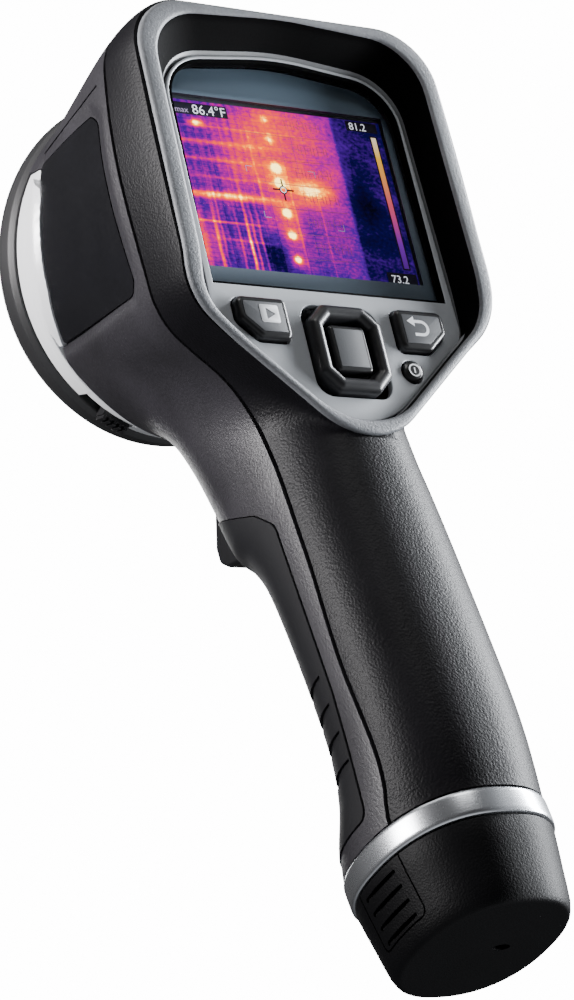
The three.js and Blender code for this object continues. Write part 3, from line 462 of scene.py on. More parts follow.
# ---------------------------------------------------------------- materials
class Wire:
    """A value in a node tree that takes part in plain sums."""

    def __init__(self, tree, socket):
        self.tree, self.socket = tree, socket

    def math(self, operation, *others):
        node = self.tree.nodes.new("ShaderNodeMath")
        node.operation = operation
        for slot, value in zip(node.inputs, (self, *others)):
            put(self.tree, slot, value)
        return Wire(self.tree, node.outputs[0])

    def __add__(self, other):
        return self.math("ADD", other)

    def __sub__(self, other):
        return self.math("SUBTRACT", other)

    def __mul__(self, other):
        return self.math("MULTIPLY", other)

    def band(self, centre, width):
        """1 at a centre, falling to 0 like a bell."""
        d = (self - centre) * (1 / width)
        return (d * d * -1.0).math("EXPONENT")

    def step(self, a, b):
        node = self.tree.nodes.new("ShaderNodeMapRange")
        node.interpolation_type = "SMOOTHSTEP"
        put(self.tree, node.inputs["Value"], self)
        node.inputs["From Min"].default_value = a
        node.inputs["From Max"].default_value = b
        return Wire(self.tree, node.outputs["Result"])


def put(tree, slot, value):
    if isinstance(value, Wire):
        tree.links.new(value.socket, slot)
    else:
        slot.default_value = value


def coordinates(tree, kind="Object"):
    return tree.nodes.new("ShaderNodeTexCoord").outputs[kind]


def noise(tree, vector, scale, detail=2.0, roughness=0.5):
    node = tree.nodes.new("ShaderNodeTexNoise")
    tree.links.new(vector, node.inputs["Vector"])
    node.inputs["Scale"].default_value = scale
    node.inputs["Detail"].default_value = detail
    node.inputs["Roughness"].default_value = roughness
    return Wire(tree, node.outputs["Fac"])


def cells(tree, vector, scale):
    node = tree.nodes.new("ShaderNodeTexVoronoi")
    node.feature = "SMOOTH_F1"
    tree.links.new(vector, node.inputs["Vector"])
    node.inputs["Scale"].default_value = scale
    return Wire(tree, node.outputs["Distance"])


def bump(tree, height, distance):
    node = tree.nodes.new("ShaderNodeBump")
    node.inputs["Strength"].default_value = 1.0
    node.inputs["Distance"].default_value = distance
    put(tree, node.inputs["Height"], height)
    return node.outputs["Normal"]


def ramp(tree, value, stops):
    node = tree.nodes.new("ShaderNodeValToRGB")
    put(tree, node.inputs["Fac"], value)
    elements = node.color_ramp.elements
    while len(elements) < len(stops):
        elements.new(0.5)
    for element, (place, color) in zip(elements, stops):
        element.position = place
        element.color = (*color, 1)
    return node.outputs["Color"]


def principled(name):
    material = bpy.data.materials.new(name)
    material.use_nodes = True
    tree = material.node_tree
    return material, tree, tree.nodes["Principled BSDF"]


def moulded(
    name, color, rough, grain, depth, vary, leather=False, metal=0.0, coat=0.0, spread=0.12, specular=0.5
):
    """Moulded or painted surface: grain, slow colour drift and uneven gloss."""
    material, tree, shader = principled(name)
    where = coordinates(tree)
    fine = noise(tree, where, grain, 3)
    slow = noise(tree, where, 45, 3)
    if leather:
        height = cells(tree, where, grain) * 0.75 + fine * 0.4
    else:
        height = fine * 0.8 + noise(tree, where, grain * 2.4, 1) * 0.4
    tree.links.new(bump(tree, height, depth), shader.inputs["Normal"])
    dark = tuple(c * (1 - vary) for c in color)
    light = tuple(min(1, c * (1 + vary)) for c in color)
    mixed = slow * 0.6 + fine * 0.4
    tree.links.new(ramp(tree, mixed, [(0.3, dark), (0.7, light)]), shader.inputs["Base Color"])
    put(tree, shader.inputs["Roughness"], (mixed - 0.5) * spread + rough)
    shader.inputs["Metallic"].default_value = metal
    shader.inputs["Coat Weight"].default_value = coat
    shader.inputs["Specular IOR Level"].default_value = specular
    return material


MAT = {
    "front": moulded("front_housing_grain", (0.022, 0.0205, 0.0245), 0.44, 1500, 0.00013, 0.4, specular=0.45),
    "rear": moulded("rear_housing_leather", (0.0045, 0.0042, 0.0055), 0.46, 2000, 0.00011, 0.4, True, specular=0.16),
    "grip": moulded("grip_rubber_soft", (0.007, 0.007, 0.0085), 0.58, 2200, 0.00003, 0.2, specular=0.25),
    "rubber": moulded("black_rubber", (0.005, 0.005, 0.0055), 0.55, 1800, 0.00003, 0.2),
    "bumper": moulded("bumper_rubber", (0.014, 0.014, 0.015), 0.50, 2000, 0.00003, 0.2),
    "cap": moulded("cap_grain", (0.0022, 0.0022, 0.0028), 0.50, 2400, 0.00008, 0.3, True, specular=0.12),
    "gloss": moulded("gloss_panel", (0.007, 0.007, 0.0085), 0.24, 900, 0.000004, 0.2, coat=0.2, specular=0.4),
    "hood": moulded("surround_paint", (0.15, 0.157, 0.169), 0.50, 1700, 0.00014, 0.28, metal=0.1),
    "hood_edge": moulded("surround_foot", (0.16, 0.165, 0.17), 0.45, 2100, 0.00004, 0.12, metal=0.2),
    "hood_wall": moulded("surround_wall", (0.0008, 0.0008, 0.001), 0.7, 2100, 0.00003, 0.2, specular=0.03),
    "panel": moulded("keypad_film", (0.46, 0.48, 0.505), 0.40, 2600, 0.00002, 0.06, metal=0.25),
    "key": moulded("key_black", (0.010, 0.010, 0.011), 0.30, 2400, 0.00001, 0.15),
    "key_top": moulded("key_top_grey", (0.07, 0.073, 0.079), 0.45, 2800, 0.00002, 0.12),
    "key_ring": moulded("key_ring_dark", (0.014, 0.014, 0.016), 0.34, 2400, 0.00001, 0.15),
    "icon": moulded("printed_symbol", (0.75, 0.76, 0.78), 0.45, 3000, 0.000003, 0.04),
    "silver": moulded("satin_silver", (0.62, 0.64, 0.67), 0.27, 2600, 0.000006, 0.04, metal=0.95, spread=0.08),
    "silver_ring": moulded(
        "satin_silver_ring", (0.93, 0.94, 0.96), 0.27, 3000, 0.000002, 0.02, metal=0.1, spread=0.02
    ),
    "black": moulded("plain_black", (0.005, 0.005, 0.006), 0.45, 2000, 0.00002, 0.2),
    "trigger": moulded("trigger_black", (0.006, 0.006, 0.007), 0.32, 2200, 0.00002, 0.2),
    "steel": moulded("plain_steel", (0.50, 0.51, 0.53), 0.30, 1600, 0.00001, 0.08, metal=1.0),
    "board": moulded("circuit_board", (0.015, 0.10, 0.04), 0.35, 500, 0.00002, 0.35),
    "gold": moulded("gold_contacts", (0.72, 0.50, 0.20), 0.28, 1500, 0.00001, 0.1, metal=1.0),
    "foam": moulded("closed_foam", (0.020, 0.020, 0.021), 0.85, 1500, 0.0001, 0.3),
    "battery": moulded("battery_case", (0.020, 0.021, 0.024), 0.45, 1500, 0.00003, 0.2),
    "lens": moulded("coated_lens", (0.30, 0.24, 0.36), 0.08, 600, 0.000002, 0.08, metal=1.0, spread=0.03),
    "lcd_case": moulded("lcd_case", (0.30, 0.31, 0.33), 0.35, 1500, 0.00001, 0.08, metal=0.8),
}


def dress(obj, *names):
    obj.data.materials.clear()
    for name in names:
        obj.data.materials.append(MAT[name])
    return obj


def finish(obj, body, look, replaces=(), angle=32):
    """Last steps of a piece: shading, material, body and the CAD nodes it stands for."""
    smooth(obj, angle)
    if look:
        dress(obj, look)
    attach(obj, body)
    if replaces:
        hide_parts(*replaces)
    return obj


# -------------------------------------------------------------------- housing
MIDDLE = (200, 1.6, 36)  # sides, step along the handle, rings of the dome
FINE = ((320, 1.0, 60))
COARSE = (120, 2.4, 24)


def side_region(points, half=60, steps=6):
    return slab(rounded(points, steps), -half, half, SIDE)


def seam_region(a, b):
    """Everything from a to b ahead of the seam between the housing's halves."""
    z = np.arange(18, 251, 3.0)
    y = table(SEAM, z, 1)
    back = np.c_[np.maximum(-95, y + a), z]
    ahead = np.c_[np.minimum(95, y + b), z]
    return slab(np.r_[back, ahead[::-1]], -70, 70, SIDE)


def above_rim(drop):
    """Everything over the rim's height less a drop."""
    v = np.arange(RIM_V0, RIM_V1 + 0.1, 1.0)
    ends = [[75, RIM_W - drop], [75, 60], [-67, 60]]
    line = np.r_[[[-67, RIM_V_W - drop]], np.c_[v, rim_height(v) - drop], ends]
    return slab(line, -80, 80, DISPLAY_SIDE)


def ahead_of_ring(z):
    return block(-90, 90, -90, 90, z, z + 90, LENS)


def below_housing():
    return block(-60, 60, -60, 60, 0, HOUSING_BOTTOM)


def body_at(depth, fineness=MIDDLE, relief=None):
    return make("form", *body_surface(depth, *fineness, relief))


def hood_seat(inset, low):
    """Room for the display surround; it comes closer to the outline above the keypad."""
    seat = slab(rounded(offset(HOOD_OUTLINE, -2.5)), low, 30, DISPLAY, "seat")
    upper = slab(rounded(offset(HOOD_OUTLINE, -inset)), low, 30, DISPLAY, "seat_upper")
    cut(upper, block(-60, 60, -30, 60, -5, 40, DISPLAY), how="INTERSECT")
    return seat, upper


outer = body_at(0, FINE, badge_bevel)
cut(outer, body_at(WALL, (90, 3.0, 16)))
cut(
    outer,
    slab(rounded(offset(PANEL_OUTLINE, 0.4)), 0, 30, DISPLAY),
    *hood_seat(0.9, 3.5),
    ahead_of_ring(-14.3),
    below_housing(),
    above_rim(LIP + 0.3),
    block(-60, 60, -90, -28.9, 60, 117),
)
tray_room = mirrored([[35.8, 31.4, 5], [35.8, -31, 8], [0, -65, 20]])
cut(outer, slab(rounded(offset(tray_room, 0.4)), -6.4, 3, DISPLAY))
rear_shell = copied(outer, "rear_housing")
cut(rear_shell, seam_region(-200, -0.55), how="INTERSECT")
front_shell = outer
front_shell.name = "front_housing"
cut(front_shell, seam_region(0.55, 200), how="INTERSECT")

badge_pocket = cut(side_region(BADGE_POCKET), body_at(2.1))
overlay_pocket = cut(side_region(OVERLAY), body_at(1.3))
cut(front_shell, badge_pocket)
cut(front_shell, overlay_pocket)
cut(front_shell, block(-8.7, 8.7, 6, 45, 114.4, 140.4), block(-8, 8, -35, -18, 214, 262))
parting = np.array(PARTING)
line = np.r_[parting + [0, PARTING_HALF], (parting - [0, PARTING_HALF])[::-1]]
cut(front_shell, cut(slab(line, -60, 60, SIDE), body_at(0.5)))
finish(front_shell, "housing", "front", ["front_shell"])
finish(rear_shell, "housing", "rear", ["rear_shell"])

gasket = cut(body_at(1.1), body_at(2.8, (90, 3.0, 16)))
cut(gasket, seam_region(-0.5, 0.5), how="INTERSECT")
cut(
    gasket,
    ahead_of_ring(-14.6),
    below_housing(),
    above_rim(LIP + 0.3),
    *hood_seat(1.1, 0),
)
finish(gasket, "housing", "rubber", ["seam_gasket"])



def left_and_right(both, name):
    """The two halves of a piece that goes through the head from side to side."""
    halves = copied(both, name + "_left"), copied(both, name + "_right")
    bpy.data.objects.remove(both)
    cut(halves[0], block(-90, -5, -90, 90, 100, 260), how="INTERSECT")
    cut(halves[1], block(5, 90, -90, 90, 100, 260), how="INTERSECT")
    return halves


badges = cut(body_at(0.9), body_at(1.9, COARSE))
cut(badges, side_region(offset(BADGE, -0.35)), how="INTERSECT")
cut(badges, ahead_of_ring(-14.6))
badge_left, badge_right = left_and_right(badges, "badge")
flare = cut(body_at(-0.15, FINE, flare_bevel), body_at(2.0, COARSE))
cut(flare, side_region(FLARE), how="INTERSECT")
flare_left, flare_right = left_and_right(flare, "flare")
finish(badge_left, "housing", "gloss", ["badge_panel_left"])
finish(badge_right, "housing", "gloss", ["badge_panel_right"])

overlay = cut(body_at(-0.35), body_at(1.0, COARSE))
cut(overlay, side_region(offset(OVERLAY, -0.3)), how="INTERSECT")
cut(overlay, block(-9.4, 9.4, 6, 45, 113.6, 145))
for i in range(4):
    z = GRIP_NOTCH_Z + GRIP_NOTCH_STEP * i
    notch = side_region([[-5.2, z, 0], [22, z - 0.8, 0], [22, z + 3.4, 0], [-5.2, z + 1.5, 0]], 30)
    cut(overlay, cut(notch, body_at(0.2, (160, 2.0, 24))))
finish(overlay, "housing", "grip", ["grip_overlay"])

flap = cut(body_at(0.1), body_at(1.7, COARSE))
flap_outline = [[-7.7, -34.7, 0.6], [7.7, -34.7, 0.6], [7.7, -18.3, 1], [-7.7, -18.3, 1]]
cut(flap, slab(rounded(flap_outline), 214, 262), how="INTERSECT")
finish(flap, "usb_flap", "rubber", ["usb_flap"])

# ------------------------------------------------------------ display surround
ANGLES = np.linspace(0, 2 * math.pi, 480, endpoint=False)


def hood_ring(outline, inset, lift=None, level=None):
    """Points along an outline moved inwards, at a level, or at a lift from the rim's height."""
    r = polar(rounded(offset(outline, -inset) if inset else outline, 12), ANGLES)
    u, v = r * np.cos(ANGLES), HEAD_REAR_V + r * np.sin(ANGLES)
    w = rim_height(v) + lift if level is None else np.full(len(u), float(level))
    return placed(np.stack([u, v, w], 1), DISPLAY)


wall_top = hood_ring(HOOD_INNER, 0, lift=-1.2)
wall_foot = hood_ring(offset(PANEL_OUTLINE, 0.35), 0, level=4.6)
walls = [wall_foot + (wall_top - wall_foot) * t for t in np.linspace(0, 1, 8)[1:-1]]
hood_rings = [
    hood_ring(HOOD_OUTLINE, 3.2, lift=-LIP - 2.0), hood_ring(HOOD_OUTLINE, 0, lift=-LIP),
    hood_ring(HOOD_OUTLINE, 0, lift=-LIP + 0.25), hood_ring(HOOD_OUTLINE, 0.12, lift=-0.45),
    hood_ring(HOOD_OUTLINE, 0.5, lift=-0.12), hood_ring(HOOD_OUTLINE, 1.0, lift=0),
    hood_ring(HOOD_INNER, -1.1, lift=0), hood_ring(HOOD_INNER, -0.55, lift=-0.12),
    hood_ring(HOOD_INNER, -0.15, lift=-0.5),
    wall_top, *walls[::-1], wall_foot, hood_ring(offset(PANEL_OUTLINE, 0.35), 0, level=3.2),
    hood_ring(offset(PANEL_OUTLINE, 0.9), 0, level=3.2),
]
hood = make("display_surround", *loft(hood_rings, closed=True))
dress(hood, "hood", "hood_wall", "hood_edge")
WALL_ROWS, FOOT_ROW = range(8, 15), 15
for polygon in hood.data.polygons:
    row = polygon.index // len(ANGLES)
    polygon.material_index = 1 if row in WALL_ROWS else 2 if row == FOOT_ROW else 0
finish(hood, "housing", None, ["display_hood"], 40)

# -------------------------------------------------------------------- keypad
button = rounded(BUTTON_OUTLINE, 8)
flip = np.array([-1, 1])


def nav_outline(half_u, half_v, radius):
    return box(-half_u, half_u, NAV_V - half_v, NAV_V + half_v, radius)


def above(outline, v_low):
    """The part of an outline above a line, closed along the line."""
    outline = np.asarray(outline)
    over = outline[:, 1] > v_low
    start = int(np.argmax(np.roll(over, 1) < over))
    kept = np.roll(outline, -start, 0)[np.roll(over, -start)]
    sides = [np.array([[math.copysign(abs(p[0]) + 0.05, p[0]), v_low]]) for p in (kept[-1], kept[0])]
    return np.r_[kept, *sides]


WINDOW_FOOT = -29.0
mask_hole = above(rounded(offset(PANEL_OUTLINE, -0.75), 12), WINDOW_FOOT)
key_holes = [button, button * flip, rounded(nav_outline(10.4, 11.6, 4)), circle(*POWER, 3.0)]
panel = plate("keypad_face", [rounded(PANEL_OUTLINE, 12), mask_hole, *key_holes], 3.6, 5.5, DISPLAY, 0.28)
finish(panel, "housing", "panel", ["keypad_panel"])
window_top = above(rounded(WINDOW_OUTLINE, 12), WINDOW_FOOT + 0.4)
mask_edge = above(rounded(offset(PANEL_OUTLINE, -0.8), 12), WINDOW_FOOT + 0.05)
mask = plate("window_surround", [mask_edge, window_top], 3.6, 5.35, DISPLAY, 0.1, 2)
finish(mask, "housing", "hood_wall")


def octagon(half_u, half_v, corner):
    """The four-way key's outline: a rectangle with its corners cut off."""
    u, v, c = half_u, half_v, corner
    right = [(u - c, -v), (u, -v + c), (u, v - c), (u - c, v)]
    points = [(-u + c, -v), *right, *[(-a, b) for a, b in right[:0:-1]]]
    return [[a, NAV_V + b, 1.6] for a, b in points]


def key_top(name, outline, z0, z1, bevel, inset):
    """A key with a flat top in a second finish."""
    key = plate(name, [rounded(outline, 8)], z0, z1, DISPLAY, bevel, 6)
    top = plate(name + "_top", [rounded(offset(outline, -inset), 8)], z1 - 0.12, z1 + 0.06, DISPLAY, 0.05, 2)
    dress(key, "key")
    dress(top, "key_top")
    return key, top


def strokes(name, lines, width, w):
    """Printed lines a little proud of a surface."""
    made = []
    for n, line in enumerate(lines):
        line = np.asarray(line, float)
        d = np.gradient(line, axis=0)
        d /= np.linalg.norm(d, axis=1)[:, None]
        side = np.stack([-d[:, 1], d[:, 0]], 1) * width / 2
        outline = np.r_[line + side, (line - side)[::-1]]
        made.append(slab(outline, w, w + 0.05, DISPLAY, f"{name}_{n}"))
    return made


def arc(cu, cv, radius, a0, a1, steps=20):
    a = np.radians(np.linspace(a0, a1, steps))
    return np.stack([cu + radius * np.cos(a), cv + radius * np.sin(a)], 1)


key_outline = offset(BUTTON_OUTLINE, -0.4)
left_outline = [[-u, v, r] for u, v, r in key_outline][::-1]
flange = rounded(offset(BUTTON_OUTLINE, 0.8), 6)
play, play_top = key_top("play_key", left_outline, 3.0, 7.5, 1.1, 1.5)
back, back_top = key_top("return_key", key_outline, 3.0, 7.5, 1.1, 1.5)
play_tip = np.array([[-21.3, -38.6], [-18.9, -37.15], [-21.3, -35.7]])
play_frame = rounded(box(-22.9, -17.9, -39.4, -34.9, 0.5), 4)
play_mark = plate("play_mark", [play_frame, play_tip], 7.53, 7.62, DISPLAY, 0.02, 1)
hook_start, hook_end = [[18.4, -35.9], [19.4, -35.9], [20.6, -35.9]], [[20.4, -39.3], [19.2, -39.3]]
hook = np.r_[hook_start, arc(21.4, -37.6, 1.7, 88, -88, 16), hook_end]
arrow = slab([[17.6, -35.9], [19.6, -34.6], [19.6, -37.2]], 7.55, 7.61, DISPLAY, "return_tip")
back_marks = strokes("return_mark", [hook], 0.75, 7.55)
for mark in [play_mark, *back_marks, arrow]:
    dress(mark, "icon")
for main, parts, body, flange_outline in (
    (play, [play_top, play_mark], "archive_button", flange * flip),
    (back, [back_top, *back_marks, arrow], "cancel_button", flange),
):
    skirt = slab(flange_outline, 2.8, 3.3, DISPLAY, body + "_skirt")
    dress(skirt, "key")
    joined(main, *parts, skirt)
    finish(main, body, None, [body])

POWER_PROFILE = [
    [0.001, 2.8], [3.6, 2.8], [3.6, 3.3], [2.6, 3.3], [2.6, 5.6], [2.45, 6.15], [2.0, 6.45], [1.2, 6.5], [0.001, 6.5],
]
power = turned("power_key", POWER_PROFILE, DISPLAY, *POWER, sides=64)
dress(power, "key")
power_bar = [[POWER[0], POWER[1] - 0.7], [POWER[0], POWER[1] + 0.7]]
power_marks = strokes("power_mark", [arc(*POWER, 1.45, 0, 360, 40), power_bar], 0.34, 6.49)
for mark in power_marks:
    dress(mark, "icon")
joined(power, *power_marks)
finish(power, "power_button", None, ["power_button"])

RING_SECTION = [
    (0, 3.9), (0, 6.4), (0.15, 7.1), (0.55, 7.75), (1.15, 8.15), (1.8, 8.3), (2.5, 8.2), (3.1, 7.8), (3.45, 7.2),
    (3.6, 6.6), (3.75, 3.9),
]
ring_sections = []
for inset, level in RING_SECTION:
    radius = max(0.5, 1.6 - 0.3 * inset)
    outline = rounded([[u, v, radius] for u, v, _ in offset(octagon(9.9, 11.1, 4.4), -inset)], 4)
    ring_sections.append(placed(np.c_[outline, np.full(len(outline), level)], DISPLAY))
nav_ring = make("nav_ring_key", *loft(ring_sections, closed=True))
finish(nav_ring, "nav_ring", "key_ring", ["nav_ring"], 50)
centre, centre_top = key_top("nav_centre_key", nav_outline(5.0, 5.9, 1.2), 4.4, 7.5, 0.9, 1.1)
joined(centre, centre_top)
finish(centre, "nav_center_button", None, ["nav_center_button"])

# ------------------------------------------------------------------- display
PICTURE = (-30.5, 30.5, -22.85, 22.85)
# Soft patches of the heat picture: place across, width, place up, height, heat.
SPOTS = [
    (0.46, 0.27, 0.74, 0.44, 0.27), (0.60, 0.10, 0.535, 0.06, 0.34), (0.18, 0.28, 0.45, 0.022, 0.38),
    (0.15, 0.25, 0.76, 0.016, 0.20), (0.15, 0.3, 0.66, 0.012, 0.14), (0.02, 0.06, 0.15, 0.2, 0.3),
    (0.13, 0.03, 0.87, 0.02, 0.5), (0.30, 0.06, 0.42, 0.10, -0.12), (0.35, 0.07, 0.1, 0.14, -0.2),
]
WIRES = [
    (0.115, 0.008, 0.15, 0.3, 0.34), (0.215, 0.006, 0.15, 0.3, 0.2), (0.26, 0.007, 0.15, 0.3, 0.42),
    (0.285, 0.006, 0.15, 0.3, 0.30), (0.315, 0.006, 0.15, 0.3, 0.22), (0.36, 0.006, 0.6, 0.3, 0.12),
    (0.50, 0.006, 0.3, 0.3, 0.12), (0.62, 0.006, 0.25, 0.3, 0.10), (0.14, 0.006, 0.3, 0.3, 0.18),
]
# Lines across the picture: place up, height, place across, width, heat.
CABLES = [
    (0.30, 0.007, 0.12, 0.2, 0.22), (0.20, 0.007, 0.25, 0.16, 0.16), (0.56, 0.007, 0.2, 0.25, 0.12),
    (0.86, 0.007, 0.3, 0.3, 0.10),
]
HOT_SWITCHES = [(0.94, 0.18), (0.82, 0.22), (0.65, 0.62), (0.56, 0.55), (0.385, 0.62), (0.255, 0.58), (0.115, 0.6)]


def heat_picture():
    """A made-up false-colour scene: a rack of wires and switches with hot spots."""
    material, tree, shader = principled("heat_picture")
    split = tree.nodes.new("ShaderNodeSeparateXYZ")
    vector = coordinates(tree, "UV")
    tree.links.new(vector, split.inputs[0])
    s, t = Wire(tree, split.outputs[0]), Wire(tree, split.outputs[1])
    wobble = noise(tree, vector, 7, 1) * 0.012
    dark = s.step(0.755, 0.775)
    heat = noise(tree, vector, 5, 5, 0.65) * 0.40 + noise(tree, vector, 60, 3) * 0.24 + 0.05
    for across, wide, up, tall, power in SPOTS:
        heat = heat + s.band(across, wide) * t.band(up, tall) * power
    for across, wide, up, tall, power in WIRES:
        heat = heat + (s + wobble).band(across, wide) * t.band(up, tall) * power
    for up, tall, across, wide, power in CABLES:
        heat = heat + (t + wobble).band(up, tall) * s.band(across, wide) * power
    for place, power in HOT_SWITCHES:
        heat = heat + s.band(0.452, 0.016) * t.band(place, 0.021) * power
        heat = heat + s.band(0.452, 0.045) * t.band(place, 0.05) * power * 0.35
    heat = heat - dark * 0.13 - dark * s.band(0.84, 0.06) * t.band(0.45, 0.2) * 0.14
    brick = tree.nodes.new("ShaderNodeTexBrick")
    tree.links.new(vector, brick.inputs["Vector"])
    brick.offset = 0
    brick.inputs["Scale"].default_value = 9
    brick.inputs["Mortar Size"].default_value = 0.018
    brick.inputs["Mortar Smooth"].default_value = 0.4
    heat = heat - Wire(tree, brick.outputs["Fac"]) * 0.06 * s.step(0.74, 0.6)
    wave = tree.nodes.new("ShaderNodeTexWave")
    wave.bands_direction = "X"
    wave.inputs["Scale"].default_value = 9
    wave.inputs["Distortion"].default_value = 3
    tree.links.new(vector, wave.inputs["Vector"])
    heat = heat + (Wire(tree, wave.outputs["Fac"]) - 0.5) * 0.06 * s.step(0.45, 0.3)
    palette = [
        (0.0, (0.0, 0.0, 0.004)), (0.18, (0.002, 0.0, 0.035)), (0.36, (0.06, 0.0, 0.22)),
        (0.50, (0.36, 0.002, 0.24)),
        (0.62, (0.85, 0.01, 0.07)), (0.75, (1.35, 0.12, 0.0)), (0.88, (2.1, 0.65, 0.0)), (1.0, (3.2, 2.3, 0.6)),
    ]
    heat = (heat - 0.45) * 1.22 + 0.45
    color = ramp(tree, heat, palette)
    tree.links.new(color, shader.inputs["Emission Color"])
    shader.inputs["Base Color"].default_value = (0.0, 0.0, 0.0, 1)
    shader.inputs["Specular IOR Level"].default_value = 0.0
    shader.inputs["Emission Strength"].default_value = 1.9
    shader.inputs["Roughness"].default_value = 0.3
    return material


def lit(name, stops, strength=0.9):
    """A plain lit mark on the screen, shaded along its height."""
    material, tree, shader = principled(name)
    split = tree.nodes.new("ShaderNodeSeparateXYZ")
    tree.links.new(coordinates(tree, "Generated"), split.inputs[0])
    t = Wire(tree, split.outputs[2])
    color = ramp(tree, t, stops)
    tree.links.new(color, shader.inputs["Emission Color"])
    tree.links.new(color, shader.inputs["Base Color"])
    shader.inputs["Emission Strength"].default_value = strength
    shader.inputs["Roughness"].default_value = 0.4
    return material


MAT["picture"] = heat_picture()
MAT["mark"] = lit("screen_mark", [(0.0, (0.82, 0.82, 0.84)), (1.0, (0.95, 0.95, 0.97))])
MAT["mark_dim"] = lit("screen_mark_dim", [(0.0, (0.30, 0.22, 0.36)), (1.0, (0.42, 0.32, 0.46))], 0.8)
MAT["mark_faint"] = lit("screen_mark_faint", [(0.0, (0.20, 0.03, 0.14)), (1.0, (0.42, 0.08, 0.10))], 0.8)
MAT["label"] = lit("screen_label", [(0.0, (0.006, 0.004, 0.012)), (1.0, (0.010, 0.007, 0.016))], 0.3)
SCALE_COLORS = [
    (0.0, (0.012, 0.004, 0.10)), (0.25, (0.16, 0.012, 0.33)), (0.5, (0.75, 0.08, 0.12)), (0.78, (0.97, 0.50, 0.03)),
    (1.0, (1.0, 0.98, 0.85)),
]
MAT["scale"] = lit("screen_scale", SCALE_COLORS, 0.95)

u0, u1, v0, v1 = PICTURE
picture = slab(box(u0, u1, v0, v1), 0.02, 0.08, DISPLAY, "screen_picture")
uv = picture.data.uv_layers.new(name="UVMap")
inverse = np.linalg.inv(DISPLAY)
for loop in picture.data.loops:
    d = placed(np.array(picture.data.vertices[loop.vertex_index].co) * 1000, inverse)[0]
    uv.data[loop.index].uv = ((d[0] - u0) / (u1 - u0), (d[1] - v0) / (v1 - v0))
finish(picture, "housing", "picture")


def lettering(name, text, size, u, v, w, look):
    """A reading on the screen."""
    curve = bpy.data.curves.new(name, "FONT")
    curve.body = text
    curve.size = size
    curve.extrude = 0.01
    curve.resolution_u = 3
    holder = bpy.data.objects.new(name + "_text", curve)
    bpy.context.scene.collection.objects.link(holder)
    bpy.context.view_layer.update()
    mesh = bpy.data.meshes.new_from_object(holder.evaluated_get(bpy.context.evaluated_depsgraph_get()))
    bpy.data.objects.remove(holder)
    mesh.transform(Matrix.Scale(0.001, 4) @ Matrix(DISPLAY.tolist()) @ Matrix.Translation((u, v, w)))
    obj = bpy.data.objects.new(name, mesh)
    bpy.context.scene.collection.objects.link(obj)
    dress(obj, look)
    return obj


marks = []
LABELS = [(-29.6, -13.2, 18.9, 22.1), (20.6, 29.6, 19.9, 22.6), (21.6, 30.1, -21.9, -18.6)]
for n, edges in enumerate(LABELS):
    marks.append(dress(slab(box(*edges), 0.09, 0.12, DISPLAY, f"label_{n}"), "label"))
marks.append(dress(slab(box(27.2, 28.6, -17.2, 18.6), 0.09, 0.13, DISPLAY, "bar"), "scale"))
marks.append(dress(slab(box(26.8, 29.0, -17.6, 19.0), 0.085, 0.11, DISPLAY, "bar_edge"), "label"))
marks += [
    lettering("reading", "86.4°F", 3.6, -22.9, 19.25, 0.15, "mark"),
    lettering("reading_word", "max", 2.2, -27.7, 19.35, 0.15, "mark_dim"),
    lettering("scale_high", "81.2", 2.9, 21.4, 20.2, 0.15, "mark"),
    lettering("scale_low", "73.2", 2.9, 22.6, -21.3, 0.15, "mark"),
]
cu, cv = -2.4, 1.0
ways = ((1, 0), (-1, 0), (0, 1), (0, -1))
cross = [[(cu + a * 0.9, cv + b * 0.9), (cu + a * 2.9, cv + b * 2.9)] for a, b in ways]
for stroke in strokes("aim", [arc(cu, cv, 0.9, 0, 360, 24), *cross], 0.42, 0.12):
    marks.append(dress(stroke, "label"))
for stroke in strokes("aim_core", [arc(cu, cv, 0.72, 0, 360, 24)], 0.22, 0.14):
    marks.append(dress(stroke, "mark"))
ticks = []
for a, b in ((-11.5, 6.6), (-9.4, -6.9), (7.8, 6.9), (12.4, -8.6)):
    ticks.append([(a, b - 1.6), (a, b)] if b > 0 else [(a, b + 1.6), (a, b)])
    ticks.append([(a, b), (a + (1.8 if a < 0 else -1.8), b)])
for stroke in strokes("tick", ticks, 0.16, 0.10):
    marks.append(dress(stroke, "mark_dim"))
ticks = []
for row in range(6):
    for column in range(3):
        a, b = 2.6 + 3.6 * column + 0.5 * (row % 2), 18.0 - 6.6 * row
        ticks.append([(a, b), (a, b + 2.6), (a + 1.7, b + 2.6), (a + 1.7, b + 0.2)])
        ticks += [[(a + 2.5, b), (a + 2.5, b + 2.2)], [(a, b + 1.3), (a + 1.7, b + 1.3)]]
    ticks.append([(-10 + row, 16.0 - 6.6 * row), (1.5, 15.8 - 6.6 * row), (14.5, 16.2 - 6.6 * row)])
for stroke in strokes("relief", ticks, 0.13, 0.10):
    marks.append(dress(stroke, "mark_faint"))
screen_marks = marks[0]
joined(screen_marks, *marks[1:])
screen_marks.name = "screen_marks"
finish(screen_marks, "housing", None)


def window_print():
    """Grey-blue printed border that darkens towards the bottom and the edges."""
    material, tree, shader = principled("window_print")
    where = coordinates(tree)
    split = tree.nodes.new("ShaderNodeSeparateXYZ")
    tree.links.new(where, split.inputs[0])
    z = Wire(tree, split.outputs[2])
    shade = z.step(0.150, 0.214) + noise(tree, where, 900, 2) * 0.06
    greys = [(0.0, (0.115, 0.140, 0.155)), (0.45, (0.22, 0.25, 0.27)), (1.0, (0.135, 0.175, 0.20))]
    tree.links.new(ramp(tree, shade, greys), shader.inputs["Base Color"])
    shader.inputs["Roughness"].default_value = 0.35
    tree.links.new(bump(tree, noise(tree, where, 2500, 1), 0.000005), shader.inputs["Normal"])
    return material


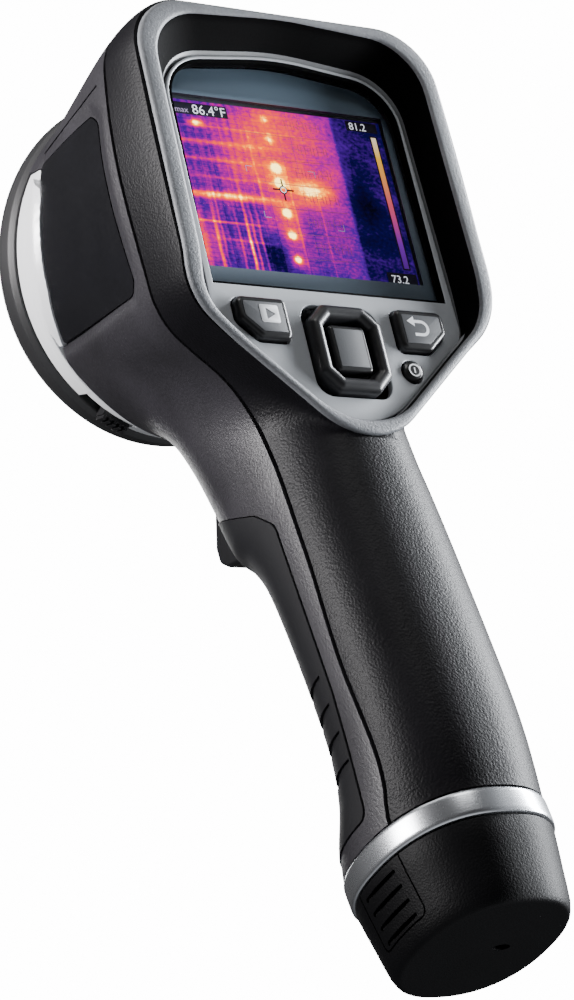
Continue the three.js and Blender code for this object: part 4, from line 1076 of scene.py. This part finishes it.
def clear_window():
    """Coated window: clear, with a weak reflection."""
    material = bpy.data.materials.new("clear_window")
    material.use_nodes = True
    tree = material.node_tree
    tree.nodes.remove(tree.nodes["Principled BSDF"])
    where = coordinates(tree)
    clear = tree.nodes.new("ShaderNodeBsdfTransparent")
    clear.inputs["Color"].default_value = (0.95, 0.97, 1.0, 1)
    gloss = tree.nodes.new("ShaderNodeBsdfGlossy")
    put(tree, gloss.inputs["Roughness"], noise(tree, where, 300, 2) * 0.05 + 0.02)
    tree.links.new(bump(tree, noise(tree, where, 400, 1), 0.000002), gloss.inputs["Normal"])
    weight = tree.nodes.new("ShaderNodeLayerWeight")
    weight.inputs["Blend"].default_value = 0.5
    edge_on = Wire(tree, weight.outputs["Facing"])
    mix = tree.nodes.new("ShaderNodeMixShader")
    put(tree, mix.inputs[0], edge_on * edge_on * edge_on * 0.35 + 0.02)
    tree.links.new(clear.outputs[0], mix.inputs[1])
    tree.links.new(gloss.outputs[0], mix.inputs[2])
    tree.links.new(mix.outputs[0], tree.nodes["Material Output"].inputs["Surface"])
    return material


MAT["print"] = window_print()
MAT["window"] = clear_window()
border_hole = rounded(box(u0 + 0.5, u1 - 0.4, v0 + 0.4, v1 + 0.4))
border_edge = rounded(offset(WINDOW_OUTLINE, 0.5), 12)
border = plate("window_border", [border_edge, border_hole], 1.78, 1.92, DISPLAY, 0.03, 1)
finish(border, "housing", "print")
window = plate("window_glass", [rounded(offset(WINDOW_OUTLINE, 0.7), 12)], 2.0, 3.3, DISPLAY, 0.15, 3)
finish(window, "housing", "window", ["display_window"])

# ------------------------------------------------------------------ lens head
BUMPER_PROFILE = [
    [36.2, -6.8, 0.4], [42.9, -6.8, 0.8], [43.9, -5.0, 1.5], [43.8, -0.6, 4], [42.2, 2.6, 3], [39.4, 4.4, 1.5],
    [36.2, 4.0, 0.6],
]
RING_PROFILE = [[40.0, -14, 0.1], [43.15, -14, 0.4], [43.5, -12.5, 0.8], [43.0, -7.6, 0.4], [40.0, -7.6, 0.1]]
NOTCH_PROFILE = [[40.0, -14, 0.1], [43.15, -14, 0.3], [43.4, -12.6, 0.3], [43.3, -11.4, 0.2], [40.0, -11.4, 0.1]]
COLLAR_PROFILE = [[40.0, -14.4, 0.1], [43.35, -14.4, 0.2], [43.75, -12.0, 1.0], [43.6, -7.4, 0.5], [40.0, -7.4, 0.1]]


def ring_part(name, profile, steps, a0, a1, sides=240):
    """A sector round the lens, with its angles from +X downwards."""
    return turned(name, rounded(profile, steps), LENS, sides=sides, a0=a0, a1=a1)


bumper = turned("front_bumper_rubber", rounded(BUMPER_PROFILE, 6), LENS, sides=192)
finish(bumper, "housing", "bumper", ["front_bumper"], 40)

ring = ring_part("trim_ring_silver", RING_PROFILE, 5, LEVER_A1 + 8.7, COLLAR_A0 - 0.4)
ring_right = ring_part("trim_ring_right", RING_PROFILE, 5, COLLAR_A1 + 0.4 - 360, LEVER_A0 - 1.2)
ring_notch = ring_part("trim_ring_notch", NOTCH_PROFILE, 3, LEVER_A0 - 1.6, LEVER_A1 + 9.1)
joined(ring, ring_right, ring_notch, flare_left, flare_right)
finish(ring, "housing", "silver_ring", ["front_trim_ring"], 40)
collar = ring_part("trim_ring_collar", COLLAR_PROFILE, 5, COLLAR_A0, COLLAR_A1)
finish(collar, "housing", "front", (), 40)

lever = turned("cover_lever_ring", rounded(box(36.2, 39.6, -10.8, -9.4, 0.2), 3), LENS, sides=160)
teeth = [ring_part("lever_pad", box(39, 44.2, -10.8, -7.3, 0.3), 3, LEVER_A0, LEVER_A1, 480)]
for i in range(5):
    a = LEVER_A0 + 0.4 + i * 2
    teeth.append(ring_part(f"lever_rib_{i}", box(43.8, 45.2, -10.8, -7.3, 0.35), 3, a, a + 1.1, 960))
joined(lever, *teeth)
finish(lever, "cover_lever", "black", ["cover_lever"], 35)

# ---------------------------------------------------------------- trigger
trigger = plate("trigger_blade", [rounded(TRIGGER, 8), circle(13.5, 136, 1.5, 24)], -8.1, 8.1, SIDE, 1.0, 5)
finish(trigger, "trigger", "trigger", ["trigger"])


# ------------------------------------------------------------- base and cap
def oval(scale_x, scale_y, y=BASE_Y, count=220, exponent=2.3, x=0.0):
    t = (np.arange(count) + 0.5) * 2 * math.pi / count
    c, s = np.cos(t), np.sin(t)
    r = (abs(c) ** exponent + abs(s) ** exponent) ** (-1 / exponent)
    return np.stack([x + scale_x * r * c, y + scale_y * r * s], 1)


def level(outline, z):
    return np.c_[outline, np.full(len(outline), float(z))]


BAND = [
    (2.6, 19.4), (0.35, 19.4), (0.05, 19.55), (-0.15, 19.9), (-0.2, 20.6), (-0.2, 24.4), (-0.15, 25.1), (0.05, 25.45),
    (0.35, 25.6), (2.6, 25.6),
]
band = [level(oval(BASE_HALF_X - inset, BASE_HALF_Y - inset), z) for inset, z in BAND]
base_band = make("base_band", *loft(band, closed=True))
finish(base_band, "housing", "silver", ["base_ring"], 40)

CAP = [
    (0.0, 0.79), (0.0, 0.815), (0.12, 0.829), (0.5, 0.845), (1.2, 0.862), (2.8, 0.885), (6, 0.907), (10, 0.93),
    (14, 0.956), (18.4, 0.981), (18.9, 0.979), (19.1, 0.965),
]


def cap_form(name):
    rings = [level(oval(BASE_HALF_X * s, BASE_HALF_Y * s, BASE_Y * z / 19.1), z) for z, s in CAP]
    return make(name, *loft(rings, cap=True))


cap = cap_form("cap_shell")
LATCH = [[-8.6, 4.4, 2.0], [8.6, 4.4, 2.0], [8.6, 21, 0], [-8.6, 21, 0]]
RIDGES = (5.9, 9.4, 12.9, 16.4)


def sideways(outline, side, near, far):
    """An outline in (y, z) pulled from near to far on one side."""
    return slab(outline, *sorted((side * near, side * far)), SIDE)


for side in (-1, 1):
    cut(cap, sideways(rounded(LATCH, 6), side, 14.6, 40))
cut(cap, slab(oval(2.2, 1.2, -1.0, 40, 2, 3.9), -1, 1.2))
finish(cap, "battery", "cap", ["battery_cap"])
for name, node, side in (("latch_pad_left", "latch_left", -1), ("latch_pad_right", "latch_right", 1)):
    pad = cap_form(name)
    cut(pad, sideways(rounded(offset(LATCH, -0.4), 6), side, 17, 40), how="INTERSECT")
    for z in RIDGES:
        depth = BASE_HALF_X * (0.867 + 0.0062 * z) - 0.9
        cut(pad, sideways(rounded(box(-5.9, 6.4, z - 0.5, z + 0.5, 0.35), 3), side, depth, 30))
    finish(pad, node, "cap", [node])

# -------------------------------------------------- CAD nodes that stay as made
KEPT = {
    "foam": "display_gasket", "lcd_case": "lcd_module", "rubber": "keypad_mat", "window": "camera_window",
    "lens": "ir_lens", "battery": "battery_pack", "board": "main_board keypad_board",
    "gold": "display_flex ir_core battery_contacts",
    "black": "display_tray nav_plate lens_frame front_face_plate lens_cover lens_carrier lens_barrel"
    " visual_camera_module nuc_shutter trigger_switch",
    "steel": "board_screw_1 board_screw_2 board_screw_3 board_screw_4 cover_pin lens_retaining_ring shutter_motor"
    " usb_socket trigger_pin trigger_bracket trigger_spring",
}
KEPT_NODES = {node: look for look, nodes in KEPT.items() for node in nodes.split()}
for node, look in KEPT_NODES.items():
    obj = dress(NODES[node], look)
    bevel = obj.modifiers.new("edge", "BEVEL")
    bevel.width = 0.00015
    bevel.segments = 2
    bevel.limit_method = "ANGLE"
    bevel.angle_limit = math.radians(50)

# ------------------------------------------------------- floor, light, camera
floor_mesh = bpy.data.meshes.new("floor")
floor_mesh.from_pydata([(-6, -6, -1.2), (6, -6, -1.2), (6, 6, -1.2), (-6, 6, -1.2)], [], [(0, 1, 2, 3)])
floor = bpy.data.objects.new("floor", floor_mesh)
bpy.context.scene.collection.objects.link(floor)
floor_material, floor_tree, floor_shader = principled("pale_floor")
tint = noise(floor_tree, coordinates(floor_tree), 3, 2)
pale = ramp(floor_tree, tint, [(0.0, (0.83, 0.83, 0.84)), (1.0, (0.87, 0.87, 0.88))])
floor_tree.links.new(pale, floor_shader.inputs["Base Color"])
floor_shader.inputs["Roughness"].default_value = 0.7
floor_shader.inputs["Emission Color"].default_value = (1.0, 1.0, 1.0, 1)
seen = Wire(floor_tree, floor_tree.nodes.new("ShaderNodeLightPath").outputs["Is Camera Ray"])
put(floor_tree, floor_shader.inputs["Emission Strength"], seen * 1.2)
floor_mesh.materials.append(floor_material)

world = bpy.data.worlds.new("studio")
bpy.context.scene.world = world
world.use_nodes = True
sky = world.node_tree.nodes["Background"]
sky.inputs["Color"].default_value = (1.0, 1.0, 1.0, 1)
path = Wire(world.node_tree, world.node_tree.nodes.new("ShaderNodeLightPath").outputs["Is Camera Ray"])
put(world.node_tree, sky.inputs["Strength"], path * 15.0 + 0.05)


def area_light(name, place, aim, size, power, color=(1, 1, 1), spread=180):
    data = bpy.data.lights.new(name, "AREA")
    data.shape = "RECTANGLE"
    data.size, data.size_y = size
    data.energy = power
    data.color = color
    data.spread = math.radians(spread)
    light = bpy.data.objects.new(name, data)
    bpy.context.scene.collection.objects.link(light)
    light.location = place
    light.rotation_euler = (Vector(aim) - Vector(place)).to_track_quat("-Z", "Y").to_euler()
    return light


area_light("right_strip", (0.85, -0.28, 0.2), (0.0, -0.02, 0.12), (0.2, 1.0), 50, (0.93, 0.96, 1.0))
area_light("top_soft", (-0.25, -0.25, 0.95), (0.0, 0.0, 0.15), (0.6, 0.6), 2)
area_light("left_fill", (-0.8, 0.05, 0.5), (0.0, 0.0, 0.28), (0.4, 0.4), 2.4, (1.0, 0.98, 0.99), 50)
area_light("rear_soft", (-0.05, -1.0, 0.85), (0.0, -0.04, 0.19), (0.4, 0.4), 3.5)
area_light("front_soft", (0.4, 1.0, 0.9), (0.0, 0.04, 0.2), (0.4, 0.4), 4.5)

camera_data = bpy.data.cameras.new("camera")
camera_data.lens = 122.64
camera_data.sensor_width = 36
camera_data.clip_end = 20
camera = bpy.data.objects.new("camera", camera_data)
bpy.context.scene.collection.objects.link(camera)
camera.location = (-0.43837, -0.50428, -0.28301)
aim = Vector((-0.038435, -0.037626, 0.088606)) - camera.location
turn = aim.to_track_quat("-Z", "Y").to_matrix().to_4x4() @ Matrix.Rotation(math.radians(-21.05), 4, "Z")
camera.rotation_euler = turn.to_euler()
bpy.context.scene.camera = camera
